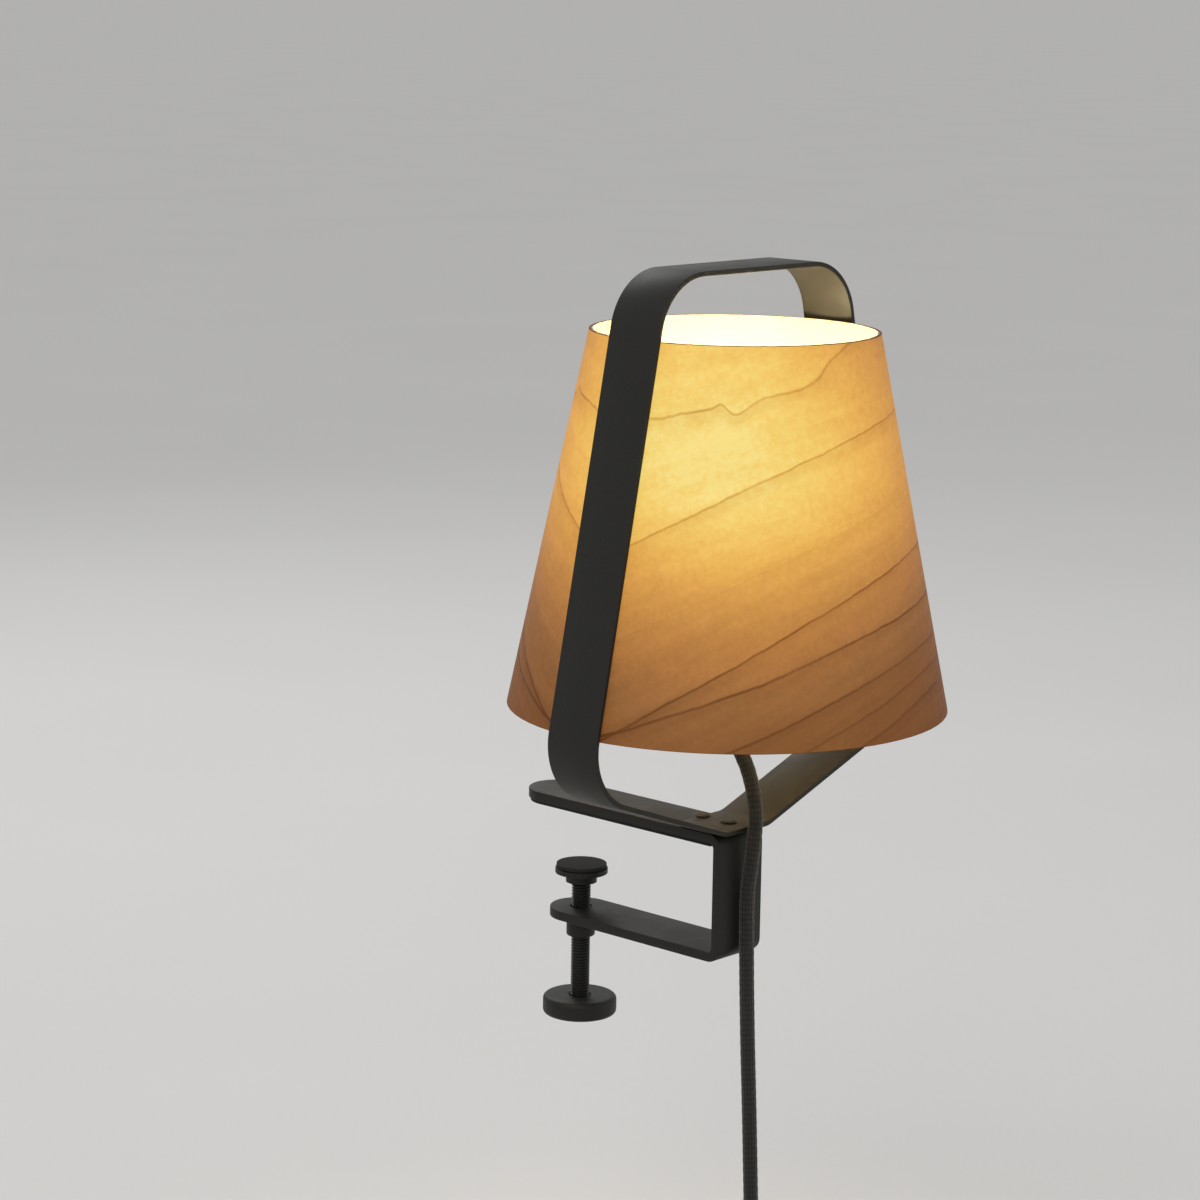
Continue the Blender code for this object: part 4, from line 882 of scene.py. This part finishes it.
def threaded_screw():
    """The M8 clamp screw: a real thread below a plain neck and head."""
    low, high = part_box("clamp_screw")
    bottom, columns = low.z, 32
    rows = math.ceil((NECK_LOW - bottom) / (THREAD_PITCH / 8))
    heights = [(bottom + (NECK_LOW - bottom) * k / rows, None) for k in range(rows + 1)]
    heights += [(NECK_LOW, NECK_RADIUS), (NECK_HIGH, NECK_RADIUS)]
    heights += [(NECK_HIGH, HEAD_RADIUS), (high.z, HEAD_RADIUS)]
    rings = []
    for z, plain in heights:
        ring = []
        for j in range(columns):
            turn = math.tau * j / columns
            radius = plain
            if plain is None:
                phase = (z / THREAD_PITCH - j / columns) % 1.0
                tooth = min(1.0, max(0.0, 4.8 * abs(phase - 0.5) - 0.7))
                # The thread runs out over the last 2 mm below and 1 mm above.
                ease = max(0.0, min(1.0, (z - bottom) / 0.002, (NECK_LOW - z) / 0.001))
                radius = SCREW_RADIUS - THREAD_DEPTH * (1 - tooth * ease)
            ring.append((radius * math.cos(turn), radius * math.sin(turn), z))
        rings.append(ring)
    return capped_tube("clamp_screw_threaded", rings, angle=50)


def arc(radius, z, edge, start, end, steps=6):
    """Profile points of a rounded edge whose centre is at the given radius and height."""
    turns = [math.radians(start + (end - start) * k / steps) for k in range(steps + 1)]
    return [(radius + edge * math.cos(turn), z + edge * math.sin(turn)) for turn in turns]


def knob():
    """The turning disc: rounded rims, a broken bore edge and a shallow recess underneath."""
    low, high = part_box("clamp_knob")
    edge, recess, bevel = 0.0019, 0.0095, 0.0006
    profile = [(DISC_BORE, high.z - bevel), (DISC_BORE + bevel, high.z)]
    profile += arc(DISC_RADIUS - edge, high.z - edge, edge, 90, 0)
    profile += arc(DISC_RADIUS - edge, low.z + edge, edge, 0, -90)
    profile += [(recess, low.z), (recess - 0.0005, low.z + bevel)]
    profile += [(DISC_BORE + bevel, low.z + bevel), (DISC_BORE, low.z + 0.0010)]
    return turned("clamp_turning_disc", profile, 96, 40)


def boss():
    low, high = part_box("thread_boss")
    edge = 0.0007
    profile = [(BOSS_BORE, low.z + 0.0004), (BOSS_BORE + 0.00045, low.z)]
    profile += arc(BOSS_RADIUS - edge, low.z + edge, edge, -90, 0, 4)
    profile += [(BOSS_RADIUS, high.z), (BOSS_BORE, high.z)]
    return turned("clamp_boss", profile, 64, 40)


def hold(obj, body, finish, *nodes):
    """Give a piece its finish, ride it on its body and let it stand for its CAD nodes."""
    paint(obj, finish)
    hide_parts(*nodes)
    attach(obj, body)
    return obj


def dress(finish, *nodes, angle=35):
    """CAD nodes that stay get a better material."""
    for node in nodes:
        paint(NODES[node], finish)
        soften(NODES[node], angle)


def paint(obj, finish):
    obj.data.materials.clear()
    obj.data.materials.append(finish)


# ---------------------------------------------------------------- studio
def area_light(name, place, aim, size, power):
    light = bpy.data.lights.new(name, "AREA")
    light.energy = power
    light.size = size
    lamp = bpy.data.objects.new(name, light)
    lamp.location = place
    lamp.rotation_euler = (Vector(aim) - Vector(place)).to_track_quat("-Z", "Y").to_euler()
    lamp.visible_camera = False
    bpy.context.scene.collection.objects.link(lamp)


def studio():
    """A plain pale floor out to 90 m, a pale world and three soft lights."""
    steps = 96
    rings = [0.4, 1.0, 3.0, 10.0, 30.0, 90.0]
    # A hair below the parts that rest on it, so that no faces coincide.
    level = FLOOR - 0.0002
    around = [math.tau * k / steps for k in range(steps)]
    verts = [(0, 0, level)]
    for ring in rings:
        verts += [(ring * math.cos(turn), ring * math.sin(turn), level) for turn in around]
    faces = [(0, 1 + k, 1 + (k + 1) % steps) for k in range(steps)]
    for i in range(len(rings) - 1):
        for k in range(steps):
            a, b = 1 + i * steps, 1 + (i + 1) * steps
            faces.append((a + k, b + k, b + (k + 1) % steps, a + (k + 1) % steps))
    floor = new_object("floor", verts, faces, 180)
    floor.data.materials.append(floor_material())
    world = bpy.data.worlds.new("studio")
    bpy.context.scene.world = world
    world.use_nodes = True
    background = world.node_tree.nodes["Background"]
    background.inputs["Color"].default_value = (0.80, 0.80, 0.80, 1)
    background.inputs["Strength"].default_value = 0.72
    area_light("key", (-1.6, -0.6, 1.5), (0, -0.07, 0.08), 1.2, 13)
    area_light("fill", (0.9, -1.9, 0.8), (0, -0.07, 0.08), 1.4, 5)
    area_light("rim", (0.8, 1.6, 1.3), (0, -0.07, 0.1), 1.0, 8)
    scene = bpy.context.scene
    scene.view_settings.view_transform = "Standard"
    scene.view_settings.look = "None"


# ---------------------------------------------------------------- build
aim_camera()

lamp_line, mains_line = lamp_cord_line(), mains_cord_line()
cord_finish = textile("cord_textile")
lamp_cord = hold(cord_mesh("lamp_cord_sleeve", lamp_line, 16), "lamp", cord_finish, "lamp_cord")
mains_cord = cord_mesh("mains_cord_sleeve", mains_line, 12)
hold(mains_cord, "lamp", cord_finish, "tail_cord", "cord_coil", "plug_cord")

coat = powder_coat("charcoal_coat")
hold(band(), "lamp", coat, "band_frame")
hold(bracket(), "lamp", powder_coat("clamp_coat", (27, 26, 24), 4), "clamp_bracket")
hold(boss(), "lamp", powder_coat("boss_coat", (26, 25, 23), 7), "thread_boss")
hold(threaded_screw(), "screw", black_oxide("screw_oxide"), "clamp_screw")
hold(knob(), "screw", powder_coat("knob_coat", (26, 25, 23), 11), "clamp_knob")
dress(coat, "band_rivet_1", "band_rivet_2")
dress(powder_coat("foot_coat", (26, 25, 23), 9), "pressure_pad")
dress(rubber("pad_rubber_black"), "jaw_pad", "pressure_pad_face")

zinc = plated("zinc_small", (200, 201, 202))
nickel = plated("nickel_bright", (214, 210, 202), (0.12, 0.22))
dress(veneer(), "shade_veneer")
dress(liner(), "shade_liner")
dress(plated("zinc_plated", (196, 198, 200), stretch=(6, 1, 1)), "lamp_bridge")
for side in ("left", "right"):
    dress(zinc, *(f"bridge_{part}_{side}" for part in ("stud", "washer", "nut")))
dress(zinc, "nipple_nut", "bulb_contact")
dress(
    plated("brass_turned", (206, 168, 96)),
    "nipple",
    "terminal_screw_1",
    "terminal_screw_2",
    "centre_contact",
    "switch_contact",
    "switch_terminal_1",
    "switch_terminal_2",
)
dress(moulded("holder_black", (26, 25, 25), 0.35, 0.3), "cord_grip", "holder_cap", "holder_body")
dress(moulded("ceramic_white", (226, 222, 212), 0.4, 0.2), "contact_insert")
dress(moulded("collar_white", (232, 228, 218), 0.32, 0.15), "bulb_collar")
dress(moulded("board_white", (236, 234, 228), 0.5, 0.1), "led_board")
dress(nickel, "thread_shell", "bulb_screw_cap", "plug_pin_1", "plug_pin_2")
dress(opal_glass(), "bulb_globe", angle=60)

switch_finish = moulded("switch_black", (27, 27, 28), 0.44, 0.55)
for part, edge in (("lower", 0.0006), ("upper", 0.0014)):
    shell = rounded_copy(f"switch_{part}_shell", f"switch_shell_{part}", edge)
    hold(shell, "lamp", switch_finish, f"switch_{part}_shell")
dress(moulded("rocker_black", (31, 31, 32), 0.28, 0.15), "switch_rocker")
dress(plated("steel_small", (178, 180, 182)), "rocker_pin", "switch_screw_1", "switch_screw_2")
dress(rubber("tie_webbing_black"), "coil_tie")
plug_finish = moulded("plug_black", (28, 28, 29), 0.42, 0.5)
dress(plug_finish, "plug_relief")
hold(rounded_copy("plug_body", "plug_shell", 0.0022, 4, 20), "lamp", plug_finish, "plug_body")

studio()
